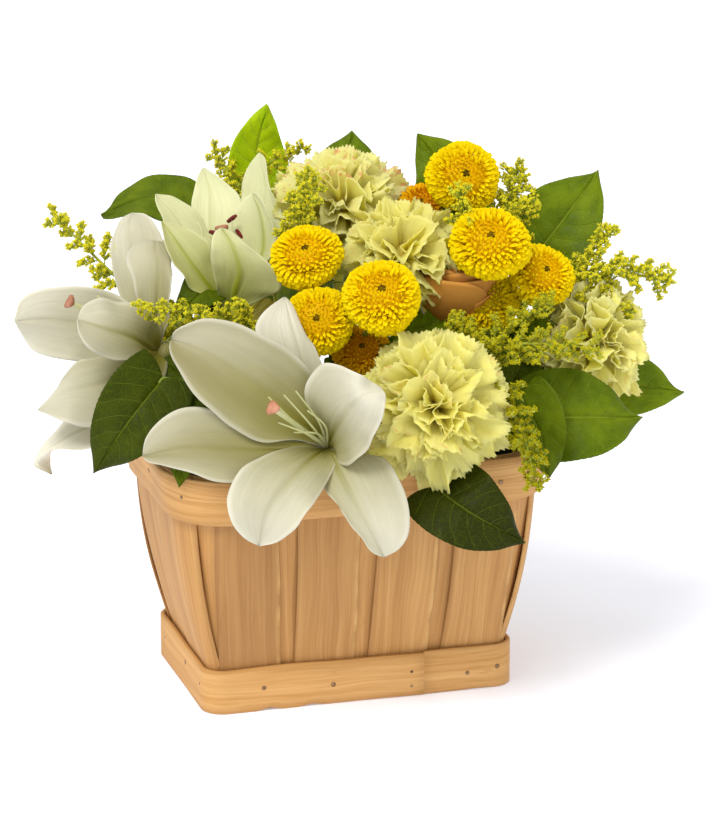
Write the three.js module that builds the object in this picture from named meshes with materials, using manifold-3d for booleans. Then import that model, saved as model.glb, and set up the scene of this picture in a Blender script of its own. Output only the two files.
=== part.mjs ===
// A rectangular wood-splint basket holding a mixed arrangement of white lilies, pale yellow
// carnations, yellow button chrysanthemums, goldenrod and broad green leaves, all standing in a
// block of floral foam inside a plastic liner. Millimetres, +Z up, +X to the right and -Y towards
// the front. The origin is the middle of the basket's underside.

import * as THREE from "three";
import { mergeVertices } from "three/addons/utils/BufferGeometryUtils.js";
import Module from "manifold-3d";

const wasm = await Module();
wasm.setup();

// ---------------------------------------------------------------- driving dimensions

const BASE = { width: 171, depth: 110, corner: 12 };
const RIM = { width: 212, depth: 150, corner: 38 };
const HEIGHT = 134;
const BELLY = 0.3; // how far the walls bow out between base and rim, as a share of the flare
const BAND_HEIGHT = { base: 24, rim: 25 };
const BAND_THICK = 2.5;
const INNER_BAND_THICK = 1.8;
const SPLINT_THICK = 1.2;
const FIT = 0.35; // clearance between parts that touch on the real basket
const BOARD_THICK = 9;
const LINER = { thick: 1.4, top: 127, gap: 1.2, taper: 4 };
const FOAM = { halfWidth: 62, halfDepth: 42, top: 140, chamfer: 9 };

const BLADE_THICK = 0.9; // petals and leaves
const STEM = { lily: 2.6, carnation: 1.9, mum: 1.7, rose: 2, leaf: 1.5, goldenrod: 1.3 }; // radii
const STEM_DEPTH = 20; // how deep a stem stands in the foam
const STEM_ORIGIN = [0, 0, 40]; // stems fan out from here, so that none crosses another
const CLEAR = 0.4; // air kept between a plant part and what it passes
const SLIVER = 0.15; // detail finer than this, left by joining and cutting, is smoothed away

// The arrangement has a show side, seen from a little to the left and above. Plants are laid out
// in its own axes: right, up and out towards the viewer, from a point above the basket's middle.
const SHOW = { turn: -16, tip: 17, centre: [0, 0, 120] };

// ---------------------------------------------------------------- small helpers

const vec = (x, y, z) => new THREE.Vector3(x, y, z);
const lerp = THREE.MathUtils.lerp;
const rad = THREE.MathUtils.degToRad;

const SHOW_OUT = vec(0, -1, 0).applyAxisAngle(vec(1, 0, 0), -rad(SHOW.tip)).applyAxisAngle(vec(0, 0, 1), rad(SHOW.turn));
const SHOW_RIGHT = vec(1, 0, 0).applyAxisAngle(vec(0, 0, 1), rad(SHOW.turn));
const SHOW_UP = SHOW_OUT.clone().cross(SHOW_RIGHT);

// A direction, or a place, given in the show side's axes.
function facing([right, up, out]) {
  return vec(0, 0, 0).addScaledVector(SHOW_RIGHT, right).addScaledVector(SHOW_UP, up).addScaledVector(SHOW_OUT, out);
}
const shown = (place) => facing(place).add(vec(...SHOW.centre));

// A repeatable stream of numbers from 0 to 1.
function dice(seed) {
  let state = seed * 2654435761;
  return () => {
    state = (Math.imul(state ^ (state >>> 15), 2246822519) + 3266489917) >>> 0;
    return ((state ^ (state >>> 13)) >>> 0) / 4294967296;
  };
}

// The closed mesh of a three.js geometry as a solid that can be joined and cut.
function solidOf(geometry) {
  const bare = new THREE.BufferGeometry();
  bare.setAttribute("position", geometry.getAttribute("position"));
  bare.setIndex(geometry.index);
  const merged = mergeVertices(bare, 1e-4);
  return new wasm.Manifold(
    new wasm.Mesh({
      numProp: 3,
      vertProperties: merged.attributes.position.array,
      triVerts: new Uint32Array(merged.index.array),
    }),
  );
}

// The geometry of a solid, for a mesh.
function geometryOf(solid) {
  const mesh = solid.getMesh();
  const positions = new Float32Array(mesh.numVert * 3);
  for (let i = 0; i < mesh.numVert; i++) {
    const from = i * mesh.numProp;
    positions.set(mesh.vertProperties.subarray(from, from + 3), i * 3);
  }
  const geometry = new THREE.BufferGeometry();
  geometry.setAttribute("position", new THREE.BufferAttribute(positions, 3));
  geometry.setIndex(new THREE.BufferAttribute(mesh.triVerts, 1));
  return geometry;
}

function geometryFrom(points, triangles) {
  const geometry = new THREE.BufferGeometry();
  geometry.setAttribute("position", new THREE.Float32BufferAttribute(points.flatMap((p) => p.toArray()), 3));
  geometry.setIndex(triangles);
  return geometry;
}

const HAIR = 1e-5;

const joined = (solids) => wasm.Manifold.union(solids);
const moved = (solid, matrix) => solid.transform(matrix.elements);

// The largest body of a solid: what a cut leaves loose is dropped.
function largestBody(solid) {
  return solid.decompose().reduce((best, body) => (body.volume() > best.volume() ? body : best));
}

// A frame at a point, with its z axis along a direction and turned about it by roll degrees.
function frameAt(position, direction, roll = 0) {
  const turn = new THREE.Quaternion().setFromUnitVectors(vec(0, 0, 1), direction);
  turn.multiply(new THREE.Quaternion().setFromAxisAngle(vec(0, 0, 1), rad(roll)));
  return new THREE.Matrix4().compose(position, turn, vec(1, 1, 1));
}

// A closed solid through a stack of loops that all have the same number of points.
function loft(loops) {
  const count = loops[0].length;
  const triangles = [];
  for (let j = 0; j + 1 < loops.length; j++) {
    for (let i = 0; i < count; i++) {
      const a = j * count + i;
      const b = j * count + ((i + 1) % count);
      triangles.push(a, b, b + count, a, b + count, a + count);
    }
  }
  // Straight rows are bent by a hair here, because the triangulation drops points in a line.
  const flat = (loop) => loop.map(({ x, y }) => new THREE.Vector2(x + HAIR * y * y, y + HAIR * x * x));
  const last = (loops.length - 1) * count;
  THREE.ShapeUtils.triangulateShape(flat(loops[0]), []).forEach(([a, b, c]) => triangles.push(a, c, b));
  THREE.ShapeUtils.triangulateShape(flat(loops.at(-1)), []).forEach(([a, b, c]) =>
    triangles.push(last + a, last + b, last + c),
  );
  return solidOf(geometryFrom(loops.flat(), triangles));
}

// A closed ring through four loops: outer bottom, outer top, inner top, inner bottom.
function ring(loops) {
  const count = loops[0].length;
  const triangles = [];
  for (let j = 0; j < 4; j++) {
    for (let i = 0; i < count; i++) {
      const next = (i + 1) % count;
      const a = j * count + i;
      const b = j * count + next;
      const up = (((j + 1) % 4) - j) * count;
      triangles.push(a, b, b + up, a, b + up, a + up);
    }
  }
  return solidOf(geometryFrom(loops.flat(), triangles));
}

// A round rod along a smooth curve through some points.
function rod(points, radius, sides = 5, steps = 6) {
  const shape = new THREE.Shape();
  for (let i = 0; i < sides; i++) {
    const angle = (i / sides) * 2 * Math.PI;
    shape[i ? "lineTo" : "moveTo"](radius * Math.cos(angle), radius * Math.sin(angle));
  }
  const path = new THREE.CatmullRomCurve3(points);
  return solidOf(new THREE.ExtrudeGeometry(shape, { steps, bevelEnabled: false, extrudePath: path }));
}

// A thin closed blade on a surface(u, v), with u across from -1 to 1 and v along from 0 to 1.
function blade(surface, across, along, thick) {
  const points = [];
  const small = 1e-3;
  for (const side of [0.5, -0.5]) {
    for (let j = 0; j <= along; j++) {
      for (let i = 0; i <= across; i++) {
        const u = (2 * i) / across - 1;
        const v = j / along;
        const du = surface(Math.min(u + small, 1), v).sub(surface(Math.max(u - small, -1), v));
        const dv = surface(u, Math.min(v + small, 1)).sub(surface(u, Math.max(v - small, 0)));
        const normal = du.cross(dv).normalize();
        points.push(surface(u, v).addScaledVector(normal, side * thick));
      }
    }
  }
  const row = across + 1;
  const under = row * (along + 1);
  const triangles = [];
  for (let j = 0; j < along; j++) {
    for (let i = 0; i < across; i++) {
      const a = j * row + i;
      triangles.push(a, a + 1, a + row + 1, a, a + row + 1, a + row);
      triangles.push(under + a, under + a + row + 1, under + a + 1, under + a, under + a + row, under + a + row + 1);
    }
  }
  const edge = [];
  for (let i = 0; i < across; i++) edge.push(i);
  for (let j = 0; j < along; j++) edge.push(j * row + across);
  for (let i = across; i > 0; i--) edge.push(along * row + i);
  for (let j = along; j > 0; j--) edge.push(j * row);
  edge.forEach((a, k) => {
    const b = edge[(k + 1) % edge.length];
    triangles.push(b, a, under + a, b, under + a, under + b);
  });
  return solidOf(geometryFrom(points, triangles));
}

// A rounded solid of revolution about z, of radius across and half-height tall.
function ellipsoid(across, tall, sides = 10, rings = 6) {
  const geometry = new THREE.SphereGeometry(1, sides, rings);
  geometry.deleteAttribute("normal");
  geometry.deleteAttribute("uv");
  geometry.rotateX(Math.PI / 2);
  geometry.scale(across, across, tall);
  return solidOf(geometry);
}

// ---------------------------------------------------------------- the pieces

const arrangement = new THREE.Group();
arrangement.name = "flower_basket_arrangement";
const pieces = [];

const paint = (color, roughness) => new THREE.MeshStandardMaterial({ color, roughness, metalness: 0 });
const MATERIALS = {
  splint: paint(0xc89a62, 0.65),
  band: paint(0xd2a468, 0.6),
  board: paint(0xb98f5c, 0.75),
  liner: paint(0x2c3a2a, 0.45),
  foam: paint(0x3f6b35, 0.95),
  lily: paint(0xeeebd8, 0.5),
  carnation: paint(0xeee9a0, 0.6),
  mum: paint(0xf0bd10, 0.6),
  rose: paint(0xd9a273, 0.55),
  goldenrod: paint(0xb7ac1e, 0.75),
  leaf: paint(0x4d6a14, 0.45),
  stem: paint(0x7f9a45, 0.55),
};

// Adds one piece. A plant's core is what nothing may cut, its flesh is cut to clear the other
// plants, and its guards are the spaces that the others keep clear of. passes names the stems
// that end in it.
function add(name, { solid, core, flesh, guard, fleshGuard, material, frame = new THREE.Matrix4(), passes = [] }) {
  const placed = (space) => space && moved(space, frame);
  pieces.push({ name, solid, core, flesh, material, frame, passes, guard, fleshGuard: placed(fleshGuard) });
}

// ---------------------------------------------------------------- basket

// How far the wall has flared at a height, from 0 at the base to 1 at the rim.
function flare(z) {
  const h = Math.max(0, z - BAND_HEIGHT.base) / (HEIGHT - BAND_HEIGHT.base);
  return h + BELLY * h * (1 - h);
}

// The basket's outline at a height, moved out by offset: half sizes and corner radius.
function outlineAt(z, offset = 0) {
  const f = flare(z);
  return {
    halfWidth: lerp(BASE.width, RIM.width, f) / 2 + offset,
    halfDepth: lerp(BASE.depth, RIM.depth, f) / 2 + offset,
    corner: Math.max(3, lerp(BASE.corner, RIM.corner, f) + offset),
  };
}

// How far out the wall is at a place along it, for a wall of the given half length and half reach.
function reachAt(along, halfLength, halfReach, corner) {
  const past = Math.abs(along) - (halfLength - corner);
  return past <= 0 ? halfReach : halfReach - corner + Math.sqrt(Math.max(0, corner ** 2 - past ** 2));
}

// A rounded-rectangle loop at a height.
function loopAt(z, { halfWidth, halfDepth, corner }, perCorner = 4) {
  const loop = [];
  for (let q = 0; q < 4; q++) {
    const middle = vec(
      (halfWidth - corner) * (q === 0 || q === 3 ? 1 : -1),
      (halfDepth - corner) * (q < 2 ? 1 : -1),
      z,
    );
    for (let k = 0; k <= perCorner; k++) {
      const angle = ((q + k / perCorner) * Math.PI) / 2;
      loop.push(middle.clone().add(vec(corner * Math.cos(angle), corner * Math.sin(angle), 0)));
    }
  }
  return loop;
}

// A wooden band hugging the wall between two heights, its outside at offset.
function band(low, high, offset, thick) {
  return ring([
    loopAt(low, outlineAt(low, offset)),
    loopAt(high, outlineAt(high, offset)),
    loopAt(high, outlineAt(high, offset - thick)),
    loopAt(low, outlineAt(low, offset - thick)),
  ]);
}

// The base band and the board inside it are upright, so they use the outline of the base alone.
function uprightBand(high, offset, thick) {
  const outer = outlineAt(0, offset);
  const inner = outlineAt(0, offset - thick);
  return ring([loopAt(0, outer), loopAt(high, outer), loopAt(high, inner), loopAt(0, inner)]);
}

const SPLINT_OUT = -(BAND_THICK + 2 * FIT); // outside of the outer splints
const SPLINT_IN = SPLINT_OUT - 2 * SPLINT_THICK; // inside of the inner ones
const SPLINT_FOOT = 1; // height of the splints' lower ends above the floor

// One wall: broad outer splints side by side over an inner layer that shows between them.
// splints holds each outer splint's middle, at the base; spread widens the row towards the rim.
function splintWall({ middles, halfSplint, innerEnd, spread, innerSpread, frontal }) {
  const levels = [SPLINT_FOOT, BAND_HEIGHT.base, 65, HEIGHT - BAND_HEIGHT.rim, HEIGHT];
  const loops = levels.map((z) => {
    const shape = outlineAt(z);
    const grown = lerp(1, spread, flare(z));
    const end = innerEnd * lerp(1, innerSpread, flare(z));
    const place = (along, offset) => {
      const length = (frontal ? shape.halfWidth : shape.halfDepth) + offset;
      const reach = (frontal ? shape.halfDepth : shape.halfWidth) + offset;
      const out = reachAt(along, length, reach, Math.max(3, shape.corner + offset));
      return frontal ? vec(along, -out, z) : vec(out, along, z);
    };
    const step = SPLINT_OUT - SPLINT_THICK;
    const loop = [place(-end, step)];
    for (const middle of middles) {
      const left = middle * grown - halfSplint;
      const right = middle * grown + halfSplint;
      loop.push(place(left, step), place(left, SPLINT_OUT), place((left + right) / 2, SPLINT_OUT));
      loop.push(place(right, SPLINT_OUT), place(right, step));
    }
    loop.push(place(end, step));
    for (const share of [0.95, 0.88, 0.78, 0.62, -0.62, -0.78, -0.88, -0.95]) loop.push(place(end * share, SPLINT_IN));
    return loop;
  });
  return loft(loops);
}

const LONG_WALL = {
  middles: [-61, -20.5, 20.5, 61],
  halfSplint: 16.5,
  innerEnd: 79,
  spread: 1.08,
  innerSpread: 1.165,
  frontal: true,
};
const SHORT_WALL = {
  middles: [-29.5, 0, 29.5],
  halfSplint: 13,
  innerEnd: 47,
  spread: 1.25,
  innerSpread: 1.26,
  frontal: false,
};
const HALF_TURN = new THREE.Matrix4().makeRotationZ(Math.PI);

function addBasket() {
  add("base_band", { solid: uprightBand(BAND_HEIGHT.base, 0, BAND_THICK), material: "band" });
  const rimFoot = HEIGHT - BAND_HEIGHT.rim;
  add("rim_band_outer", { solid: band(rimFoot, HEIGHT, 0, BAND_THICK), material: "band" });
  add("rim_band_inner", { solid: band(rimFoot, HEIGHT, SPLINT_IN - 2 * FIT, INNER_BAND_THICK), material: "band" });
  const board = outlineAt(0, SPLINT_IN - 2 * FIT);
  add("bottom_board", { solid: loft([loopAt(0, board), loopAt(BOARD_THICK, board)]), material: "board" });
  add("splints_front", { solid: splintWall(LONG_WALL), material: "splint" });
  add("splints_back", { solid: splintWall(LONG_WALL), material: "splint", frame: HALF_TURN });
  add("splints_right", { solid: splintWall(SHORT_WALL), material: "splint" });
  add("splints_left", { solid: splintWall(SHORT_WALL), material: "splint", frame: HALF_TURN });
}

// The liner's outline clears the inner rim band all the way up.
function linerOutline(z, inset = 0) {
  const low = outlineAt(0, SPLINT_IN - LINER.gap - LINER.taper);
  const high = outlineAt(HEIGHT - BAND_HEIGHT.rim, SPLINT_IN - 2 * FIT - INNER_BAND_THICK - LINER.gap);
  const share = (z - BOARD_THICK) / (LINER.top - BOARD_THICK);
  return {
    halfWidth: lerp(low.halfWidth, high.halfWidth, share) - inset,
    halfDepth: lerp(low.halfDepth, high.halfDepth, share) - inset,
    corner: lerp(low.corner, high.corner, share) - inset,
  };
}

function addLiner() {
  const floor = BOARD_THICK + FIT;
  const outside = loft([loopAt(floor, linerOutline(floor), 3), loopAt(LINER.top, linerOutline(LINER.top), 3)]);
  const inner = (z) => loopAt(z, linerOutline(z, LINER.thick), 3);
  const inside = loft([inner(floor + LINER.thick), inner(LINER.top + 1)]);
  add("liner", { solid: outside.subtract(inside), material: "liner" });
}

// The foam block, its upper edges shaved off, before any stem has been pushed in.
function foamBlock() {
  const { halfWidth, halfDepth, top, chamfer } = FOAM;
  const bottom = BOARD_THICK + LINER.thick + 2 * FIT;
  const at = (z, inset) =>
    loopAt(z, { halfWidth: halfWidth - inset, halfDepth: halfDepth - inset, corner: 6 }, 1);
  return loft([at(bottom, 6), at(top - chamfer, 0), at(top, chamfer)]);
}

// ---------------------------------------------------------------- stems

const HOLE_SIDES = 4;
const holes = []; // what the stems leave in the foam

// Where a stem that leads to a place enters the foam and where it ends in it.
function rooting(place) {
  const start = vec(...STEM_ORIGIN);
  const way = place.clone().sub(start).normalize();
  const room = [FOAM.halfWidth / Math.abs(way.x), FOAM.halfDepth / Math.abs(way.y), (FOAM.top - start.z) / way.z];
  const leave = Math.min(...room.filter((reach) => reach > 0));
  return {
    entry: start.clone().addScaledVector(way, leave),
    root: start.clone().addScaledVector(way, leave - STEM_DEPTH),
    beyond: start.clone().addScaledVector(way, leave + STEM_DEPTH),
  };
}

// A stem from a flower's base, through more places if it bends, straight into the foam.
function stem(places, radius, sides = 5, steps = 5) {
  const { entry, root, beyond } = rooting(places.at(-1));
  const deeper = root.clone().addScaledVector(root.clone().sub(entry).normalize(), FIT);
  holes.push(rod([beyond, deeper], (radius + FIT) / Math.cos(Math.PI / HOLE_SIDES), HOLE_SIDES, 1));
  const path = [...places, entry, root];
  return { solid: rod(path, radius, sides, steps), guard: rod(path, radius + 2 * CLEAR, sides, steps) };
}

// ---------------------------------------------------------------- petals and leaves

// A leaf or petal along a curve, in the show side's axes: surface(u, v) with u across from -1 to
// 1 and v from base to tip. face is the way its upper side looks, at the base and at the tip.
function ribbon({ line, width, face, faceTip = face, shape, cup = 0, fold = 0, wave = 0, waves = 9 }, grow = 0) {
  const curve = new THREE.CatmullRomCurve3(line.map(facing));
  const lower = facing(face).normalize();
  const upper = facing(faceTip).normalize();
  return (u, v) => {
    const forward = curve.getTangent(v);
    const side = forward.clone().cross(lower.clone().lerp(upper, v)).normalize();
    const up = side.clone().cross(forward).normalize();
    const half = (width / 2) * shape(v) + grow;
    const middle = Math.sin(Math.PI * Math.min(1, v + 0.12));
    const lift = width * (cup * u * u + fold * Math.abs(u)) * middle;
    const ripple = wave * Math.abs(u) * Math.sin(v * waves + (u > 0 ? 0 : 2));
    return curve.getPoint(v).addScaledVector(side, u * half * (1 - Math.abs(cup) * 0.4)).addScaledVector(up, lift + ripple);
  };
}

// How wide a petal or leaf is along its length, as a share of its full width.
const petalShape = (v) => Math.sin(Math.PI * (0.01 + 0.94 * v ** 1.5)) ** 0.9;
const leafShape = (v) => (0.05 + Math.sin(Math.PI * v ** 0.66) ** 0.8) * (v > 0.99 ? 0.5 : 1);

const between = (places, origin) => places.map((place) => place.map((c, i) => c - origin[i]));

// ---------------------------------------------------------------- lilies

const THROAT = 8; // radius of the knob on which the petals stand
const PETAL_ROWS = 4;
const SOCKET = 2.5; // how deep the stem ends in that knob
const BROAD_PETAL = 37; // petals wider than this have a finer grid

const LILIES = [
  {
    name: "lily_front",
    throat: [-3, 4, 68],
    away: [0.5, -0.4, -0.8],
    pistil: [[-15, 13, 88], [-30, 24, 110]],
    petals: [
      { line: [[-17, 18, 82], [-43, 38, 96], [-66, 53, 99], [-83, 60, 92]], width: 58, face: [0.2, -0.3, 1], cup: 0.12 },
      { line: [[-8, 21, 76], [-15, 46, 86], [-21, 67, 86], [-25, 82, 77]], width: 40, face: [0.5, 0, 1], cup: 0.08 },
      { line: [[1, 14, 88], [8, 24, 108], [15, 30, 121], [24, 35, 118]], width: 52, face: [-0.9, -0.4, 0.5], cup: 0.24 },
      { line: [[0, -3, 84], [8, -18, 94], [18, -36, 97], [26, -52, 92]], width: 36, face: [-0.1, 0.3, 1], cup: 0.06 },
      { line: [[-11, -1, 87], [-22, -12, 104], [-33, -28, 108], [-38, -46, 100]], width: 50, face: [0, 0.2, 1], cup: 0.1 },
      { line: [[-20, 3, 82], [-48, 3, 92], [-76, 4, 95], [-98, 0, 91]], width: 40, face: [0, 0.1, 1], cup: 0.08 },
    ],
  },
  {
    name: "lily_upright",
    throat: [-56, 76, 15],
    away: [0.2, -1, -0.1],
    pistil: [[-57, 98, 15], [-59, 120, 9]],
    petals: [
      { line: [[-59, 91, 10], [-65, 118, -4], [-66, 140, -12], [-70, 155, -14]], width: 32, face: [0, -0.2, 1], cup: 0.14 },
      { line: [[-51, 91, 8], [-41, 118, -8], [-37, 143, -14], [-40, 163, -16]], width: 26, face: [-0.6, 0, 0.8], cup: 0.16 },
      { line: [[-63, 90, 14], [-74, 112, 4], [-86, 130, 0], [-95, 140, -2]], width: 24, face: [0.6, 0.4, 0.6], cup: 0.1 },
      { line: [[-64, 87, 22], [-76, 102, 28], [-84, 114, 28], [-91, 124, 24]], width: 32, face: [-0.5, 0.2, -0.9], cup: -0.14 },
      { line: [[-47, 90, 18], [-37, 109, 12], [-38, 128, 10], [-43, 140, 8]], width: 28, face: [0.8, 0, -0.6], cup: -0.12 },
      { line: [[-53, 87, 28], [-45, 98, 36], [-52, 110, 38], [-59, 120, 34]], width: 38, face: [0.1, -0.2, -1], cup: -0.14 },
    ],
  },
  {
    name: "lily_left",
    throat: [-92, 55, 25],
    away: [0.9, -0.4, -0.3],
    pistil: [[-110, 66, 38], [-137, 80, 50]],
    petals: [
      { line: [[-108, 63, 22], [-129, 69, 22], [-150, 72, 26], [-168, 71, 32]], width: 42, face: [0, -0.1, 1], cup: 0.08 },
      { line: [[-97, 56, 38], [-104, 61, 52], [-117, 66, 61], [-133, 71, 64]], width: 38, face: [0.2, 0.5, 1], cup: -0.14 },
      { line: [[-104, 47, 34], [-121, 38, 44], [-140, 34, 48], [-155, 24, 44]], width: 34, face: [-0.2, 0.6, 0.8], cup: -0.08 },
      { line: [[-101, 41, 28], [-118, 21, 34], [-140, 10, 34], [-156, -2, 28], [-149, -10, 22]], width: 30, face: [-0.3, 0.6, 0.7], cup: 0.05 },
      { line: [[-98, 72, 14], [-106, 99, 2], [-110, 120, -8], [-109, 131, -22]], width: 36, face: [-0.4, 0.2, 1], cup: 0.08 },
      { line: [[-93, 74, 30], [-93, 98, 32], [-94, 113, 22], [-93, 112, 6]], width: 34, face: [-0.5, 0.4, 1], faceTip: [-0.2, 1, 0], cup: 0.08 },
    ],
  },
];

// The pistil, which stands on the same knob as the petals and ends in a broad stigma.
function pistilSolid([middle, tip]) {
  const end = facing(tip);
  const stigma = moved(ellipsoid(3.2, 2.4, 6, 4), new THREE.Matrix4().makeTranslation(end.x, end.y, end.z));
  return joined([rod([vec(0, 0, 0), facing(middle), end], 1.3, 4, 3), stigma]);
}

function addLily({ name, throat, away, pistil, petals }) {
  const build = (thick) =>
    petals.map((petal) => {
      const line = [[0, 0, 0], ...between(petal.line, throat)];
      const surface = ribbon({ ...petal, line, shape: petalShape }, thick - BLADE_THICK);
      return blade(surface, petal.width > BROAD_PETAL ? 3 : 2, PETAL_ROWS, thick);
    });
  const place = new THREE.Matrix4().makeTranslation(...shown(throat).toArray());
  const knob = ellipsoid(THROAT, THROAT, 7, 5);
  const down = facing(away).normalize();
  const foot = shown(throat).addScaledVector(down, THROAT - SOCKET);
  const neck = shown(throat).addScaledVector(down, THROAT + 9);
  const socket = rod(
    [down.clone().multiplyScalar(THROAT - SOCKET - FIT), down.clone().multiplyScalar(THROAT + 3)],
    (STEM.lily + FIT) / Math.cos(Math.PI / 6),
    6,
    1,
  );
  const { solid, guard } = stem([foot, neck], STEM.lily);
  add(`${name}_stem`, { core: solid, guard, material: "stem" });
  add(`${name}_petals`, {
    flesh: joined([knob, pistilSolid(between(pistil, throat)), ...build(BLADE_THICK)]).subtract(socket),
    fleshGuard: joined(build(BLADE_THICK + 2 * CLEAR)),
    material: "lily",
    frame: place,
    passes: [`${name}_stem`],
  });
}

// ---------------------------------------------------------------- carnations

// A head of frilled layers about the z axis, from its underside up to its crown: every layer runs
// out to a toothed, pleated rim and back in to a groove. lean is measured from the axis.
function layeredHead(radius, { columns, petals, layers, groove, pleat, tooth, notch, crown }) {
  const perPetal = columns / petals;
  const loop = (lean, reach, frill, lift, turn) =>
    Array.from({ length: columns }, (_, i) => {
      const angle = (i / columns) * 2 * Math.PI;
      const [sin, cos] = [Math.sin(rad(lean)), Math.cos(rad(lean))];
      const sign = (i + turn) % 2 ? 1 : -1;
      const gap = (i + turn) % perPetal === 0 ? notch : 0;
      const out = radius * reach * (1 + frill * (tooth * sign - gap));
      const up = frill * pleat * sign + lift;
      const wide = out * sin - up * cos;
      return vec(wide * Math.cos(angle), wide * Math.sin(angle), out * cos + up * sin);
    });
  const loops = [loop(150, 0.42, 0, 0, 0)];
  layers.forEach(({ lean, reach }, k) => {
    const next = k + 1 < layers.length ? (lean + layers[k + 1].lean) / 2 : lean * 0.6;
    loops.push(loop(lean, reach, 1, -BLADE_THICK / 2, k));
    loops.push(loop(lean, reach, 1, BLADE_THICK / 2, k));
    loops.push(loop(next, k + 1 < layers.length ? groove : crown, 0, 0, 0));
  });
  return loft(loops);
}

const CARNATION = {
  columns: 16,
  petals: 4,
  layers: [{ lean: 96, reach: 1 }, { lean: 66, reach: 0.98 }, { lean: 34, reach: 0.9 }],
  groove: 0.6,
  pleat: 2.6,
  tooth: 0.05,
  notch: 0.14,
  crown: 0.7,
};

// The room a head takes up, with a little air round it, as [from the axis, up the axis] in radii.
const HEAD_ROOM = [[0, -0.46], [0.3, -0.44], [1.1, -0.24], [1.12, 0.12], [0.96, 0.6], [0.6, 0.92], [0, 1]];

const headRoom = (radius) =>
  solidOf(
    new THREE.LatheGeometry(HEAD_ROOM.map(([x, y]) => new THREE.Vector2(x * radius, y * radius)), 12).rotateX(Math.PI / 2),
  );

const CALYX = { length: 25, neck: 3, waist: 6, mouth: 6.6, sunk: 0.28 };

// The green calyx tube under a head; its mouth is sunk in the head's core.
function calyx(radius) {
  const mouth = -radius * CALYX.sunk;
  const foot = mouth - CALYX.length;
  const profile = [[0, foot], [CALYX.neck, foot + 1], [CALYX.waist, foot + 9], [CALYX.mouth, mouth], [0, mouth]];
  return solidOf(
    new THREE.LatheGeometry(profile.map(([x, y]) => new THREE.Vector2(x, y)), 7).rotateX(Math.PI / 2),
  );
}

const CARNATIONS = [
  { name: "carnation_front", centre: [53, 25, 79], axis: [0.15, -0.1, 1], radius: 37.5 },
  { name: "carnation_middle", centre: [37, 108, 26], axis: [0.15, 0.75, 0.65], radius: 28 },
  { name: "carnation_top", centre: [3, 137, -12], axis: [-0.1, 0.95, 0.35], radius: 34 },
  { name: "carnation_right", centre: [140, 60, 0], axis: [0.95, 0.05, 0.35], radius: 32 },
  { name: "carnation_back", centre: [-28, 100, -96], axis: [-0.1, 0.5, -0.85], radius: 33 },
];

function addCarnation({ name, centre, axis, radius }) {
  const direction = facing(axis).normalize();
  const frame = frameAt(shown(centre), direction);
  const tube = calyx(radius);
  const foot = shown(centre).addScaledVector(direction, -radius * CALYX.sunk - CALYX.length + 3);
  const neck = foot.clone().addScaledVector(direction, -9);
  const { solid, guard } = stem([foot, neck], STEM.carnation);
  const room = solidOf(
    new THREE.CylinderGeometry(CALYX.mouth + 2 * CLEAR, CALYX.mouth + 2 * CLEAR, radius, 7)
      .rotateX(Math.PI / 2)
      .translate(0, 0, -radius * (0.5 + CALYX.sunk) + CLEAR),
  );
  add(`${name}_stem`, { core: joined([moved(tube, frame), solid]), guard, material: "stem" });
  add(`${name}_bloom`, {
    flesh: layeredHead(radius, CARNATION).subtract(room),
    fleshGuard: headRoom(radius),
    material: "carnation",
    frame,
    passes: [`${name}_stem`],
  });
}

// ---------------------------------------------------------------- rose

const ROSE = { name: "rose", centre: [62, 82, 18], axis: [0.1, 0.8, 0.6], radius: 24 };

const ROSE_HEAD = {
  columns: 12,
  petals: 4,
  layers: [{ lean: 78, reach: 1 }, { lean: 52, reach: 1 }, { lean: 30, reach: 1.02 }],
  groove: 0.66,
  pleat: 0,
  tooth: 0,
  notch: 0.16,
  crown: 0.86,
};

function addRose({ name, centre, axis, radius }) {
  const direction = facing(axis).normalize();
  const foot = shown(centre).addScaledVector(direction, -radius * 0.37 - FIT);
  const neck = foot.clone().addScaledVector(direction, -12);
  const { solid, guard } = stem([foot, neck], STEM.rose);
  add(`${name}_stem`, { core: solid, guard, material: "stem" });
  add(`${name}_bloom`, {
    flesh: layeredHead(radius, ROSE_HEAD),
    fleshGuard: ellipsoid(radius * 1.08, radius, 10, 6),
    material: "rose",
    frame: frameAt(shown(centre), direction),
  });
}

// ---------------------------------------------------------------- button chrysanthemums

const MUM = { columns: 9, rings: 4, flatness: 0.72, under: 0.42 };

// A button head: staggered rings of florets, each raised to a point, closing over a small eye.
function mumHead(radius) {
  const { columns, rings } = MUM;
  const tall = radius * MUM.flatness;
  const points = [vec(0, 0, tall * 0.8)];
  const triangles = [];
  const at = (k, i, puff) => {
    const down = lerp(14, 118, k / rings);
    const around = ((i + k / 2) / columns) * 2 * Math.PI;
    const out = radius * Math.sin(rad(down)) * puff;
    return vec(out * Math.cos(around), out * Math.sin(around), tall * Math.cos(rad(down)) * puff);
  };
  for (let k = 0; k <= rings; k++) {
    for (let i = 0; i < columns; i++) points.push(at(k, i, 0.88));
  }
  const index = (k, i) => 1 + k * columns + ((i + columns) % columns);
  for (let i = 0; i < columns; i++) triangles.push(0, index(0, i), index(0, i + 1));
  for (let k = 0; k < rings; k++) {
    for (let i = 0; i < columns; i++) {
      const corners = [index(k, i), index(k + 1, i), index(k + 1, i + 1), index(k, i + 1)];
      const tip = points.length;
      points.push(at(k + 0.35, i + 0.5, 1.05));
      corners.forEach((corner, c) => triangles.push(corner, corners[(c + 1) % 4], tip));
    }
  }
  const bottom = points.length;
  points.push(vec(0, 0, -tall * MUM.under));
  for (let i = 0; i < columns; i++) triangles.push(index(rings, i + 1), index(rings, i), bottom);
  return solidOf(geometryFrom(points, triangles));
}

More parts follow.
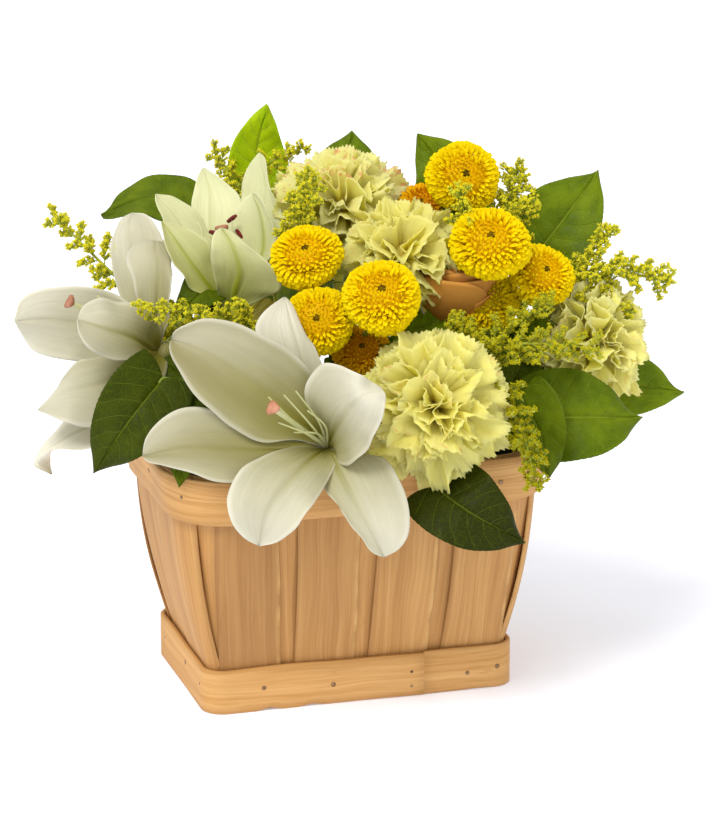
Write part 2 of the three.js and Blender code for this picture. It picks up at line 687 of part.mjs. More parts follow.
const MUM_SPRAYS = [
  {
    name: "mum_spray_centre",
    fork: [0, 50, 22],
    heads: [
      { name: "mum_1", centre: [-14, 104, 50], axis: [-0.1, 0.45, 0.9], radius: 19 },
      { name: "mum_2", centre: [25, 82, 76], axis: [0.1, 0.25, 1], radius: 20.5 },
      { name: "mum_3", centre: [-8, 70, 61], axis: [-0.1, 0.2, 1], radius: 18.5 },
      { name: "mum_4", centre: [15, 55, 41], axis: [0, 0.4, 0.9], radius: 15 },
    ],
  },
  {
    name: "mum_spray_upper",
    fork: [52, 96, -18],
    heads: [
      { name: "mum_5", centre: [69, 148, 10], axis: [0.1, 0.5, 0.85], radius: 19.5 },
      { name: "mum_6", centre: [48, 133, -10], axis: [-0.2, 0.6, 0.8], radius: 15 },
    ],
  },
  {
    name: "mum_spray_right",
    fork: [78, 54, 4],
    heads: [
      { name: "mum_7", centre: [82, 111, 44], axis: [0, 0.4, 0.9], radius: 21 },
      { name: "mum_8", centre: [110, 95, 25], axis: [0.5, 0.3, 0.8], radius: 18 },
      { name: "mum_9", centre: [80, 82, 24], axis: [-0.1, 0.3, 0.95], radius: 18 },
    ],
  },
  {
    name: "mum_spray_back",
    fork: [52, 78, -46],
    heads: [
      { name: "mum_10", centre: [38, 112, -84], axis: [0, 0.6, -0.8], radius: 19 },
      { name: "mum_11", centre: [76, 94, -90], axis: [0.3, 0.4, -0.9], radius: 18 },
    ],
  },
];

function addMumSpray({ name, fork, heads }) {
  const main = stem([shown(fork)], STEM.mum, 5, 2);
  const twigs = heads.map(({ centre, axis, radius }) => {
    const direction = facing(axis).normalize();
    const foot = shown(centre).addScaledVector(direction, -radius * MUM.flatness * MUM.under - FIT);
    const neck = shown(centre).addScaledVector(direction, -radius * 0.8);
    const path = [shown(fork), neck.clone().lerp(shown(fork), 0.45).addScaledVector(direction, -5), neck, foot];
    return { solid: rod(path, STEM.mum * 0.8, 4, 5), guard: rod(path, STEM.mum * 0.8 + 2 * CLEAR, 4, 5) };
  });
  const all = (key) => joined([main[key], ...twigs.map((twig) => twig[key])]);
  add(name, { core: all("solid"), guard: all("guard"), material: "stem" });
  for (const { name: head, centre, axis, radius } of heads) {
    add(head, {
      flesh: mumHead(radius),
      fleshGuard: ellipsoid(radius * 1.1, radius * MUM.flatness * 1.15, 11, 7),
      material: "mum",
      frame: frameAt(shown(centre), facing(axis).normalize(), radius * 7),
    });
  }
}

// ---------------------------------------------------------------- leaves

const LEAF_GRID = [2, 6];

const LEAFY_STEMS = [
  {
    name: "leafy_stem_left",
    fork: [-72, 34, 62],
    leaves: [
      { line: [[-88, 40, 74], [-105, 18, 84], [-124, -9, 72]], width: 42, face: [0.1, 0.1, 1], fold: 0.1 },
      { line: [[-84, 32, 66], [-77, 26, 74], [-70, 12, 74]], width: 26, face: [0.2, 0.3, 1], fold: 0.1 },
      { line: [[-70, 20, 78], [-76, 4, 87.5], [-79, -16, 89.5]], width: 22, face: [0.1, 0.3, 1], fold: 0.1 },
    ],
  },
  {
    name: "leafy_stem_upper_left",
    fork: [-62, 92, -26],
    leaves: [
      { line: [[-72, 132, -34], [-100, 140, -36], [-127, 131, -44]], width: 34, face: [0, 0.7, 0.8], fold: 0.1 },
      { line: [[-64, 92, 14], [-72, 84, 30], [-84, 72, 34]], width: 24, face: [0.2, 0.6, 0.8], fold: 0.1 },
    ],
  },
  {
    name: "leafy_stem_top",
    fork: [-2, 110, -72],
    leaves: [
      { line: [[-40, 140, -62], [-42, 167, -58], [-36, 191, -46]], width: 30, face: [0.2, 0.1, 1], fold: 0.1 },
      { line: [[8, 142, -76], [8, 160, -80], [10, 180, -84]], width: 30, face: [0, 0.1, 1], fold: 0.1 },
    ],
  },
  {
    name: "leafy_stem_upper_right",
    fork: [92, 82, -22],
    leaves: [
      { line: [[60, 128, -46], [57, 154, -50], [49, 176, -52]], width: 28, face: [0.1, 0, 1], fold: 0.1 },
      { line: [[104, 104, -16], [122, 132, -16], [143, 154, -22]], width: 44, face: [-0.2, 0.1, 1], fold: 0.1 },
    ],
  },
  {
    name: "leafy_stem_right",
    fork: [92, 26, 30],
    leaves: [
      { line: [[128, 40, -20], [160, 38, -22], [190, 34, -30]], width: 44, face: [0, 0.4, 1], fold: 0.1 },
      { line: [[104, 20, 34], [134, 20, 42], [163, 20, 30]], width: 52, face: [0, 0.3, 1], fold: 0.1 },
      { line: [[98, 30, 50], [108, 10, 58], [112, -12, 56]], width: 36, face: [-0.4, 0.2, 1], fold: 0.16 },
    ],
  },
  {
    name: "leafy_stem_front",
    fork: [40, 6, 46],
    leaves: [
      { stalk: [[46, -4, 68.6]], line: [[52, -16, 70.6], [70, -29, 84], [99, -45, 77]], width: 44, face: [0.1, 0.2, 1], fold: 0.1 },
    ],
  },
  {
    name: "leafy_stem_back_left",
    fork: [-58, 66, -40],
    leaves: [
      { line: [[-80, 66, -68], [-108, 72, -84], [-134, 60, -96]], width: 42, face: [-0.2, 0.7, -0.6], fold: 0.1 },
      { line: [[-64, 60, -76], [-76, 58, -104], [-90, 40, -124]], width: 42, face: [-0.2, 0.7, -0.6], fold: 0.1 },
    ],
  },
  {
    name: "leafy_stem_back_right",
    fork: [62, 66, -44],
    leaves: [
      { line: [[84, 50, -78], [112, 58, -84], [142, 44, -86]], width: 44, face: [0.2, 0.7, -0.6], fold: 0.1 },
      { line: [[38, 46, -94], [22, 48, -120], [4, 30, -138]], width: 44, face: [0, 0.7, -0.7], fold: 0.1 },
    ],
  },
];

function addLeafyStem({ name, fork, leaves }) {
  const [across, along] = LEAF_GRID;
  const main = stem([shown(fork)], STEM.leaf, 5, 2);
  const centre = vec(...SHOW.centre);
  const stalks = (extra) =>
    leaves.map(({ stalk = [], line }) => {
      const base = shown(line[0]);
      const reach = base.clone().lerp(shown(line[1]), 0.12);
      return rod([shown(fork), ...stalk.map(shown), base, reach], STEM.leaf * 0.7 + extra, 3, 3 + stalk.length);
    });
  const blades = (thick) =>
    joined(
      leaves.map((leaf) => {
        const surface = ribbon({ ...leaf, shape: leafShape, wave: 1.6 }, thick - BLADE_THICK);
        return moved(blade(surface, across, along, thick), new THREE.Matrix4().makeTranslation(...centre.toArray()));
      }),
    );
  add(name, {
    core: joined([main.solid, ...stalks(0)]),
    guard: joined([main.guard, ...stalks(2 * CLEAR)]),
    flesh: blades(BLADE_THICK),
    fleshGuard: blades(BLADE_THICK + 2 * CLEAR),
    material: "leaf",
  });
}

// ---------------------------------------------------------------- goldenrod

const GOLDENROD = [
  { name: "goldenrod_left", places: [[-48, 44, 2], [-99, 80, -12], [-153, 131, -22]], twigs: 8, reach: 22 },
  { name: "goldenrod_upper_left", places: [[-34, 96, -34], [-48, 138, -48], [-66, 167, -56]], twigs: 5, reach: 18 },
  { name: "goldenrod_top", places: [[-12, 88, 18], [-18, 122, 28], [-13, 148, 26]], twigs: 6, reach: 14 },
  { name: "goldenrod_front_left", places: [[-38, 58, 34], [-60, 72, 52], [-102, 77, 66]], twigs: 6, reach: 13 },
  { name: "goldenrod_upper_right", places: [[76, 96, -6], [90, 126, -10], [99, 154, -18]], twigs: 5, reach: 15 },
  { name: "goldenrod_right", places: [[104, 72, 4], [136, 98, 6], [180, 93, -4]], twigs: 8, reach: 18 },
  { name: "goldenrod_front_right", places: [[70, 50, 40], [96, 58, 54], [138, 56, 48]], twigs: 7, reach: 16 },
  { name: "goldenrod_low_right", places: [[72, 34, 50], [94, 20, 72], [105, -17, 78]], twigs: 6, reach: 11 },
  { name: "goldenrod_back", places: [[-10, 88, -73], [-4, 120, -96], [4, 150, -104]], twigs: 6, reach: 17 },
];
const FLORETS = { size: 2.7, waist: 0.8, rows: 3 };

// A side twig set with florets: a slim rod that swells and narrows, turning a sixth each time.
function beadedTwig(start, end) {
  const way = end.clone().sub(start);
  const frame = frameAt(start, way.clone().normalize());
  const rows = 2 * FLORETS.rows;
  const loops = [];
  for (let j = 0; j <= rows; j++) {
    const share = j ? lerp(0.35, 1, (j - 1) / (rows - 1)) : 0;
    const radius = j % 2 ? FLORETS.size : FLORETS.waist;
    loops.push(
      [0, 1, 2].map((i) => {
        const angle = ((i + (Math.floor(j / 2) % 2) / 2) / 3) * 2 * Math.PI;
        return vec(radius * Math.cos(angle), radius * Math.sin(angle), share * way.length());
      }),
    );
  }
  return moved(loft(loops), frame);
}

// The twigs of a plume, off the upper part of its stem and shorter towards its tip.
function plume(curve, twigs, reach, seed) {
  const random = dice(seed);
  const solids = [];
  for (let k = 0; k < twigs; k++) {
    const share = k / (twigs - 1);
    const start = curve.getPoint(lerp(0.5, 0.94, share));
    const along = curve.getTangent(lerp(0.5, 0.94, share));
    const out = vec(0, 0, 1).cross(along).normalize().applyAxisAngle(along, k * 2.4 + random());
    const length = reach * lerp(1.15, 0.6, share) * (0.85 + 0.3 * random());
    solids.push(beadedTwig(start, start.clone().addScaledVector(out, length * 0.85).addScaledVector(along, length * 0.55)));
  }
  const tip = curve.getPoint(1);
  solids.push(beadedTwig(curve.getPoint(0.88), tip.addScaledVector(curve.getTangent(1), 2)));
  return joined(solids);
}

function addGoldenrod({ name, places, twigs, reach }, index) {
  const path = places.map(shown);
  const main = stem([...path].reverse(), STEM.goldenrod, 3, 7);
  const upper = new THREE.CatmullRomCurve3([rooting(path[0]).entry, ...path]);
  add(name, { core: main.solid, guard: main.guard, flesh: plume(upper, twigs, reach, index + 40), material: "goldenrod" });
}

// ---------------------------------------------------------------- assembly

// Cuts each plant clear of the stems of the others, and of the petals and leaves added before it.
function clearEachOther(list) {
  list.forEach((piece, i) => {
    const back = piece.frame.clone().invert();
    let flesh = piece.flesh;
    if (flesh) {
      list.forEach((other, j) => {
        if (j === i || piece.passes.includes(other.name)) return;
        if (other.guard) flesh = flesh.subtract(moved(other.guard, back));
        if (j < i && other.fleshGuard) flesh = flesh.subtract(moved(other.fleshGuard, back));
      });
    }
    const solids = [piece.core, flesh].filter(Boolean);
    piece.solid = largestBody(largestBody(joined(solids)).simplify(SLIVER));
  });
}

addBasket();
addLiner();
const basketPieces = pieces.length;
MUM_SPRAYS.forEach(addMumSpray);
LILIES.forEach(addLily);
CARNATIONS.forEach(addCarnation);
addRose(ROSE);
LEAFY_STEMS.forEach(addLeafyStem);
GOLDENROD.forEach(addGoldenrod);
clearEachOther(pieces.slice(basketPieces));
add("floral_foam", { solid: largestBody(foamBlock().subtract(joined(holes))), material: "foam" });

for (const { name, solid, material, frame } of pieces) {
  const mesh = new THREE.Mesh(geometryOf(solid), MATERIALS[material]);
  mesh.name = name;
  frame.decompose(mesh.position, mesh.quaternion, mesh.scale);
  arrangement.add(mesh);
}

export default arrangement;
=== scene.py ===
# A rectangular wood-splint basket holding white lilies, pale yellow carnations, yellow button
# chrysanthemums, goldenrod and broad green leaves. Lengths are in millimetres. Places in the
# flowers' tables are right, up and out towards the viewer from CENTRE, above the basket's middle.

import math

import bpy
import numpy as np
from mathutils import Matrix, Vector


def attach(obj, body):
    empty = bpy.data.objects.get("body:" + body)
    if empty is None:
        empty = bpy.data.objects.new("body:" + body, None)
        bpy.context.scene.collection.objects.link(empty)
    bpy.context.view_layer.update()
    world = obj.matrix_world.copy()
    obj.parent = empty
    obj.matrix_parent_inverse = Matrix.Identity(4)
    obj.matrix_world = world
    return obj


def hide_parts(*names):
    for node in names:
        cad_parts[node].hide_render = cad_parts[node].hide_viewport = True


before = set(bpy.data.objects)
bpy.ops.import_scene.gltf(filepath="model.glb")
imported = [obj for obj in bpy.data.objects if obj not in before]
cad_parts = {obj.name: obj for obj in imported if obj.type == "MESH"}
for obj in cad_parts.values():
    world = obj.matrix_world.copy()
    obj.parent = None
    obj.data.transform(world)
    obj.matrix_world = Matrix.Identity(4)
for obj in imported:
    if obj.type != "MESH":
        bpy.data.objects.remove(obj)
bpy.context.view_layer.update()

MM = 0.001
GOLDEN = math.pi * (3 - math.sqrt(5))
SPIRAL = 2.4  # the turn in radians from one leaf or twig to the next

# ---------------------------------------------------------------- the show side's axes

TURN, TIP = math.radians(-16), math.radians(17)
CENTRE = np.array([0.0, 0.0, 120.0])
OUT = np.array([math.cos(TIP) * math.sin(TURN), -math.cos(TIP) * math.cos(TURN), math.sin(TIP)])
RIGHT = np.array([math.cos(TURN), math.sin(TURN), 0.0])
UP = np.cross(OUT, RIGHT)
AXES = np.array([RIGHT, UP, OUT])


def facing(direction):
    return np.asarray(direction, float) @ AXES


def shown(place):
    return CENTRE + facing(place)


def unit(v):
    v = np.asarray(v, float)
    return v / np.maximum(np.linalg.norm(v, axis=-1, keepdims=True), 1e-9)


def basis(axis):
    """Two directions across an axis, and the axis."""
    n = unit(axis)
    e1 = unit(np.cross([0.0, 0.0, 1.0] if abs(n[2]) < 0.9 else [0.0, 1.0, 0.0], n))
    return e1, np.cross(n, e1), n


def spoke(e1, e2, angle):
    """The way out from an axis at an angle about it, and the way round it there."""
    c, s = math.cos(angle), math.sin(angle)
    return c * e1 + s * e2, -s * e1 + c * e2


def bearings(forward, face):
    """Sideways and up, for what runs forward and faces a way."""
    side = unit(np.cross(forward, face))
    return side, np.cross(side, forward)


# ---------------------------------------------------------------- curves

def spline(points, t):
    """Places on a smooth curve through some points, t from 0 to 1."""
    p = np.asarray(points, float)
    last = len(p) - 1
    p = np.vstack([2 * p[0] - p[1], p, 2 * p[-1] - p[-2]])
    at = np.clip(np.asarray(t, float) * last, 0, last)
    i = np.minimum(at.astype(int), last - 1)
    w = (at - i)[:, None]
    a, b, c, d = p[i], p[i + 1], p[i + 2], p[i + 3]
    gap = lambda m, n: np.maximum(np.sum((n - m) ** 2, axis=1, keepdims=True) ** 0.25, 1e-4)
    ab, bc, cd = gap(a, b), gap(b, c), gap(c, d)
    m = ((b - a) / ab - (c - a) / (ab + bc) + (c - b) / bc) * bc
    n = ((c - b) / bc - (d - b) / (bc + cd) + (d - c) / cd) * bc
    return b + m * w + (-3 * b + 3 * c - 2 * m - n) * w**2 + (2 * b - 2 * c + m + n) * w**3


def along(points, t):
    """The same curve, read at shares of its length."""
    fine = spline(points, np.linspace(0, 1, 241))
    length = lengths(fine)
    where = np.clip(t, 0, 1) * length[-1]
    return np.stack([np.interp(where, length, fine[:, k]) for k in range(fine.shape[1])], axis=1)


def lengths(points):
    """How far along a line each of its points is."""
    return np.concatenate([[0], np.cumsum(np.linalg.norm(np.diff(points, axis=0), axis=1))])


# ---------------------------------------------------------------- meshes

class Form:
    """Gathers closed shapes in millimetres, and becomes one object."""

    def __init__(self):
        self.points, self.grain, self.tone = [], [], []
        self.loops, self.sizes, self.slots = [], [], []
        self.count = 0

    def add(self, points, faces, grain, tone, slot=0):
        n = len(points)
        self.points.append(points)
        self.grain.append(np.broadcast_to(np.asarray(grain, float), (n, 3)))
        self.tone.append(np.broadcast_to(np.asarray(tone, float), (n, 3)))
        for f in faces:
            self.loops.append((f + self.count).ravel())
            self.sizes.append(np.full(len(f), f.shape[1]))
            self.slots.append(np.full(len(f), slot))
        self.count += n

    def build(self, name, nodes, skins, slot):
        mesh = bpy.data.meshes.new(name)
        points = np.concatenate(self.points) * MM
        loops = np.concatenate(self.loops).astype(np.int32)
        sizes = np.concatenate(self.sizes)
        mesh.vertices.add(len(points))
        mesh.vertices.foreach_set("co", points.ravel().astype(np.float32))
        mesh.loops.add(len(loops))
        mesh.loops.foreach_set("vertex_index", loops)
        mesh.polygons.add(len(sizes))
        mesh.polygons.foreach_set("loop_start", (np.cumsum(sizes) - sizes).astype(np.int32))
        mesh.polygons.foreach_set("material_index", np.concatenate(self.slots).astype(np.int32))
        mesh.polygons.foreach_set("use_smooth", np.ones(len(sizes), bool))
        for key, values in (("grain", self.grain), ("tone", self.tone)):
            layer = mesh.attributes.new(key, "FLOAT_VECTOR", "POINT")
            layer.data.foreach_set("vector", np.concatenate(values).ravel().astype(np.float32))
        mesh.update(calc_edges=True)
        mesh.validate()
        for skin in skins:
            mesh.materials.append(M[skin])
        piece = bpy.data.objects.new(name, mesh)
        bpy.context.scene.collection.objects.link(piece)
        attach(piece, "root")
        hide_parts(*nodes)


def grid(rows, cols, wrap=False):
    """Quads over a grid of points, whose columns may close on themselves."""
    span = cols if wrap else cols - 1
    j, i = np.meshgrid(np.arange(rows - 1), np.arange(span), indexing="ij")
    j, i = j.ravel(), i.ravel()
    k = (i + 1) % cols
    return np.stack([j * cols + i, j * cols + k, (j + 1) * cols + k, (j + 1) * cols + i], axis=1)


def normals(p):
    return unit(np.cross(np.gradient(p, axis=1), np.gradient(p, axis=0)))


def lattice(rows, cols, low=0.0, high=1.0):
    """Shares across a sheet, from -1 to 1, and along it."""
    return np.meshgrid(np.linspace(-1, 1, cols), np.linspace(low, high, rows))


def laid(place, *parts):
    """A grid of points: a place, and each grid of amounts along its way."""
    for amount, way in parts:
        place = place + amount[..., None] * way
    return place


def marks(u, v, dice):
    """A sheet's grain: across it, along it, and a number of its own."""
    return np.stack([u, v, np.full_like(u, dice.uniform(0, 1))], axis=-1)


def tones(x, y=0.0):
    return np.stack(np.broadcast_arrays(x, y, 0.0), axis=-1)


def sheet(form, p, thick, grain, tone, slot=0):
    """A thin closed sheet over a grid of points, rows along it and columns across it. Tone z tells
    its upper side from its under side."""
    rows, cols, _ = p.shape
    half = normals(p) * (np.asarray(thick, float)[..., None] / 2)
    points = np.concatenate([(p + half).reshape(-1, 3), (p - half).reshape(-1, 3)])
    top = grid(rows, cols)
    under = rows * cols
    edge = np.concatenate([
        np.arange(cols),
        np.arange(1, rows) * cols + cols - 1,
        (rows - 1) * cols + np.arange(cols - 2, -1, -1),
        np.arange(rows - 2, 0, -1) * cols,
    ])
    following = np.roll(edge, -1)
    rim = np.stack([following, edge, edge + under, following + under], axis=1)
    g = np.tile(grain.reshape(-1, 3), (2, 1))
    t = np.tile(tone.reshape(-1, 3), (2, 1))
    t[:under, 2] = 1.0
    form.add(points, [top, top[:, ::-1] + under, rim], g, t, slot)


def capped(form, p, low, high, grain, tone, slot):
    """Closed rings of points, with a point to close each end."""
    rows, sides, _ = p.shape
    k = np.arange(sides)
    n = (k + 1) % sides
    base = (rows - 1) * sides
    first = np.full(sides, rows * sides)
    caps = [np.stack([n, k, first], 1), np.stack([base + k, base + n, first + 1], 1)]
    points = np.concatenate([p.reshape(-1, 3), [low], [high]])
    form.add(points, [grid(rows, sides, wrap=True), *caps], grain, tone, slot)


def tube(form, points, radius, sides, rings, seed=0.0, slot=0):
    """A round rod along a smooth curve. radius may be a function of the share of its length."""
    t = np.linspace(0, 1, rings)
    c = along(points, t)
    forward = unit(np.gradient(c, axis=0))
    across = unit(np.cross(forward[0], [0.31, 0.2, 0.93]))
    sidewise = []
    for f in forward:
        across = unit(across - f * np.dot(across, f))
        sidewise.append(across)
    sidewise = np.array(sidewise)
    other = np.cross(forward, sidewise)
    r = np.broadcast_to(radius(t) if callable(radius) else radius, rings)[:, None, None]
    a = np.linspace(0, 2 * math.pi, sides, endpoint=False)[None, :, None]
    ring = c[:, None] + r * (np.cos(a) * sidewise[:, None] + np.sin(a) * other[:, None])
    long = np.linalg.norm(c[-1] - c[0])
    grain = np.zeros((rings * sides + 2, 3))
    grain[:-2] = np.stack(
        np.broadcast_arrays(np.arange(sides) / sides, (t * long)[:, None], seed), axis=-1
    ).reshape(-1, 3)
    tip = forward * 1e-2
    capped(form, ring, c[0] - tip[0], c[-1] + tip[-1], grain, (0, 0, 0), slot)


def turned(form, profile, place, axis, sides, tone=(0, 0, 0), seed=0.0, slot=0, lobes=(0, 0.0)):
    """A turned shape about an axis. profile is [radius, height] from its underside to its top, and
    lobes their count and their depth."""
    e1, e2, n = basis(axis)
    profile = np.asarray(profile, float)
    rows = len(profile)
    a = np.linspace(0, 2 * math.pi, sides, endpoint=False)
    r = np.maximum(profile[:, :1], 1e-3) * (1 + lobes[1] * np.cos(lobes[0] * a))[None]
    p = place + r[..., None] * (np.cos(a)[None, :, None] * e1 + np.sin(a)[None, :, None] * e2)
    p = p + profile[:, 1, None, None] * n
    grain = np.zeros((rows * sides + 2, 3))
    grain[:-2, 0] = np.tile(np.arange(sides) / sides, rows)
    grain[:-2, 1] = np.repeat(profile[:, 1], sides)
    grain[:, 2] = seed
    capped(form, p, place + n * profile[0, 1], place + n * profile[-1, 1], grain, tone, slot)


# ---------------------------------------------------------------- materials

WORN_AND_SHADE, TORN_AND_LIT = (96, 54, 22), (236, 192, 122)  # splints' rubbed edges and painted shade, and their split edges and painted light
# the colour of the painted shade on leaves, and the tint of their undersides
LEAF_SHADE, LEAF_UNDER = (38, 42, 1), (0.3, 0.38, 0.12)
LATERALS = 7  # side veins on each half of a leaf
VEIN_RISE = 0.2  # how far they climb towards the tip
TONE_PLACES = (0.0, 0.35, 0.65, 1.0)


def srgb(color):
    """A colour given as it looks on a screen, 0 to 255."""
    return tuple((c / 255 / 12.92) if c <= 10 else ((c / 255 + 0.055) / 1.055) ** 2.4 for c in color)


class Shader:
    """Builds one node material."""

    def __init__(self, name):
        self.material = bpy.data.materials.new(name)
        self.material.use_nodes = True
        self.tree = self.material.node_tree
        self.tree.nodes.clear()

    def node(self, kind, values=(), **settings):
        n = self.tree.nodes.new(kind)
        for key, value in settings.items():
            setattr(n, key, value)
        for key, value in dict(values).items():
            self.put(n.inputs[key], value)
        return n

    def put(self, socket, value):
        if isinstance(value, bpy.types.NodeSocket):
            self.tree.links.new(value, socket)
        elif socket.type == "RGBA" and len(value) == 3:
            socket.default_value = (*value, 1.0)
        else:
            socket.default_value = value

    def math(self, operation, *values, clamp=False):
        return self.node("ShaderNodeMath", enumerate(values), operation=operation, use_clamp=clamp).outputs[0]

    def add(self, a, b, clamp=False):
        return self.math("ADD", a, b, clamp=clamp)

    def sub(self, a, b):
        return self.math("SUBTRACT", a, b)

    def mul(self, a, b):
        return self.math("MULTIPLY", a, b)

    def attribute(self, name):
        n = self.node("ShaderNodeAttribute", attribute_name=name, attribute_type="GEOMETRY")
        return self.node("ShaderNodeSeparateXYZ", {0: n.outputs["Vector"]}).outputs

    def join(self, x, y, z):
        return self.node("ShaderNodeCombineXYZ", {0: x, 1: y, 2: z}).outputs[0]

    def weave(self, x, x_scale, y, y_scale, z):
        """A place in a texture, stretched across and along."""
        return self.join(self.mul(x, x_scale), self.mul(y, y_scale), z)

    def own_space(self, by=None):
        place = self.node("ShaderNodeTexCoord").outputs["Object"]
        if by is None:
            return place
        return self.node("ShaderNodeVectorMath", {0: place, 1: (by,) * 3}, operation="MULTIPLY").outputs[0]

    def noise(self, vector, scale=1.0, detail=4.0, rough=0.55):
        values = {"Vector": vector, "Scale": scale, "Detail": detail, "Roughness": rough}
        return self.node("ShaderNodeTexNoise", values).outputs["Fac"]

    def band(self, value, low, high, to_low=0.0, to_high=1.0):
        values = {"Value": value, "From Min": low, "From Max": high, "To Min": to_low, "To Max": to_high}
        return self.node("ShaderNodeMapRange", values, interpolation_type="SMOOTHSTEP").outputs["Result"]

    def mix(self, share, a, b, kind="MIX"):
        n = self.node("ShaderNodeMix", data_type="RGBA", blend_type=kind, clamp_factor=True)
        for index, value in ((0, share), (6, a), (7, b)):
            self.put(n.inputs[index], value)
        return n.outputs[2]

    def scaled(self, color, by):
        grey = self.node("ShaderNodeCombineColor", {0: by, 1: by, 2: by}).outputs[0]
        return self.mix(1.0, color, grey, "MULTIPLY")

    def ramp(self, share, colors):
        n = self.node("ShaderNodeValToRGB", {0: share})
        elements = n.color_ramp.elements
        while len(elements) < len(colors):
            elements.new(0.5)
        for element, place, color in zip(elements, TONE_PLACES, colors):
            element.position = place
            element.color = (*color, 1.0)
        return n.outputs[0]

    def bump(self, height, distance, strength):
        values = {"Height": height, "Distance": distance * MM, "Strength": strength}
        return self.node("ShaderNodeBump", values).outputs[0]

    def surface(self, color, roughness, normal=None, through=0.0, glow=None, **constants):
        """through is how much light comes through, in the colour glow, or else in its own."""
        bent = {} if normal is None else {"Normal": normal}
        values = {"Base Color": color, "Roughness": roughness, **bent}
        for key, value in constants.items():
            values[key.replace("_", " ")] = value
        shader = self.node("ShaderNodeBsdfPrincipled", values).outputs[0]
        if through:
            lit = {"Color": color if glow is None else glow, **bent}
            back = self.node("ShaderNodeBsdfTranslucent", lit).outputs[0]
            shader = self.node("ShaderNodeMixShader", {0: through, 1: shader, 2: back}).outputs[0]
        output = self.node("ShaderNodeOutputMaterial")
        self.tree.links.new(shader, output.inputs["Surface"])
        return self.material


def wood(name, *colors, coarse=1.0, rough=0.62):
    """Split wood. Grain x and y are millimetres along and across it, and z tells strips apart. Tone
    x darkens it with wear and painted shade, and tone y lightens it with split edges and painted light."""
    s = Shader(name)
    colors = [srgb(c) for c in colors]
    x, y, w = s.attribute("grain")
    shift = s.mul(w, 61.7)
    wander = s.noise(s.weave(x, 0.012, y, 0.05, shift), detail=2.0)
    bent = s.add(y, s.mul(wander, 9.0))
    broad = s.noise(s.weave(x, 0.006, bent, 0.16 * coarse, shift), detail=3.0)
    streak = s.noise(s.weave(x, 0.011, bent, 0.85 * coarse, shift), detail=6.0, rough=0.68)
    fibre = s.noise(s.weave(x, 0.09, y, 4.2, shift), detail=3.0, rough=0.7)
    color = s.ramp(s.band(s.add(s.mul(broad, 0.46), s.mul(streak, 0.54)), 0.3, 0.7), colors)
    own = s.noise(s.join(0.0, 0.0, s.mul(w, 13.1)), detail=0.0)
    color = s.scaled(color, s.band(own, 0.3, 0.7, 0.96, 1.03))
    color = s.mix(s.band(fibre, 0.56, 0.74, 0.0, 0.3), color, colors[0])
    fleck = s.noise(s.weave(x, 0.05, y, 0.22, s.add(shift, 7.0)), detail=2.0)
    color = s.mix(s.band(fleck, 0.68, 0.78, 0.0, 0.35), color, colors[0])
    # tone x: wear, nail stains and painted shade; tone y: split edges and painted light
    worn, torn, _ = s.attribute("tone")
    color = s.mix(torn, s.mix(worn, color, srgb(WORN_AND_SHADE)), srgb(TORN_AND_LIT))
    height = s.add(s.mul(streak, 0.6), s.mul(fibre, 0.4))
    roughness = s.band(streak, 0.2, 0.8, rough - 0.08, rough + 0.14)
    return s.surface(color, roughness, s.bump(height, 0.5, 0.55), Specular_IOR_Level=0.35)


def petal(
    name, base, deep, glow, fleck=None, shade=None,
    rough=0.55, through=0.12, ribs=26.0, rib_depth=0.12, shine=0.06,
):
    """A petal: pale, deeper where tone x says so, and ribbed along. Tone y flecks it, or, if a
    shade is given, turns it to that painted shade. On goldenrod its flecks are painted shade."""
    s = Shader(name)
    base, deep, glow = srgb(base), srgb(deep), srgb(glow)
    u, v, w = s.attribute("grain")
    tint, spots, _ = s.attribute("tone")
    shift = s.mul(w, 37.0)
    ribbed = s.noise(s.weave(u, ribs * 0.5, v, 1.6, shift), detail=2.0, rough=0.5)
    mottle = s.noise(s.weave(u, 2.5, v, 4.0, shift), detail=3.0)
    share = s.add(tint, s.mul(s.sub(ribbed, 0.5), 0.22), clamp=True)
    # painted shade: tone y turns the petal and its glow towards the shade colour
    if shade:
        base, glow = (s.mix(spots, c, srgb(shade)) for c in (base, glow))
    color = s.scaled(s.mix(share, base, deep), s.band(mottle, 0.3, 0.7, 0.95, 1.03))
    if fleck:
        dots = s.noise(s.weave(u, 9.0, v, 14.0, shift), detail=1.0)
        color = s.mix(s.mul(s.band(dots, 0.56, 0.66), spots), color, srgb(fleck))
    normal = s.bump(s.add(ribbed, s.mul(mottle, 0.5)), rib_depth, 0.7)
    return s.surface(color, rough, normal, through, s.mix(share, glow, deep), Specular_IOR_Level=shine)


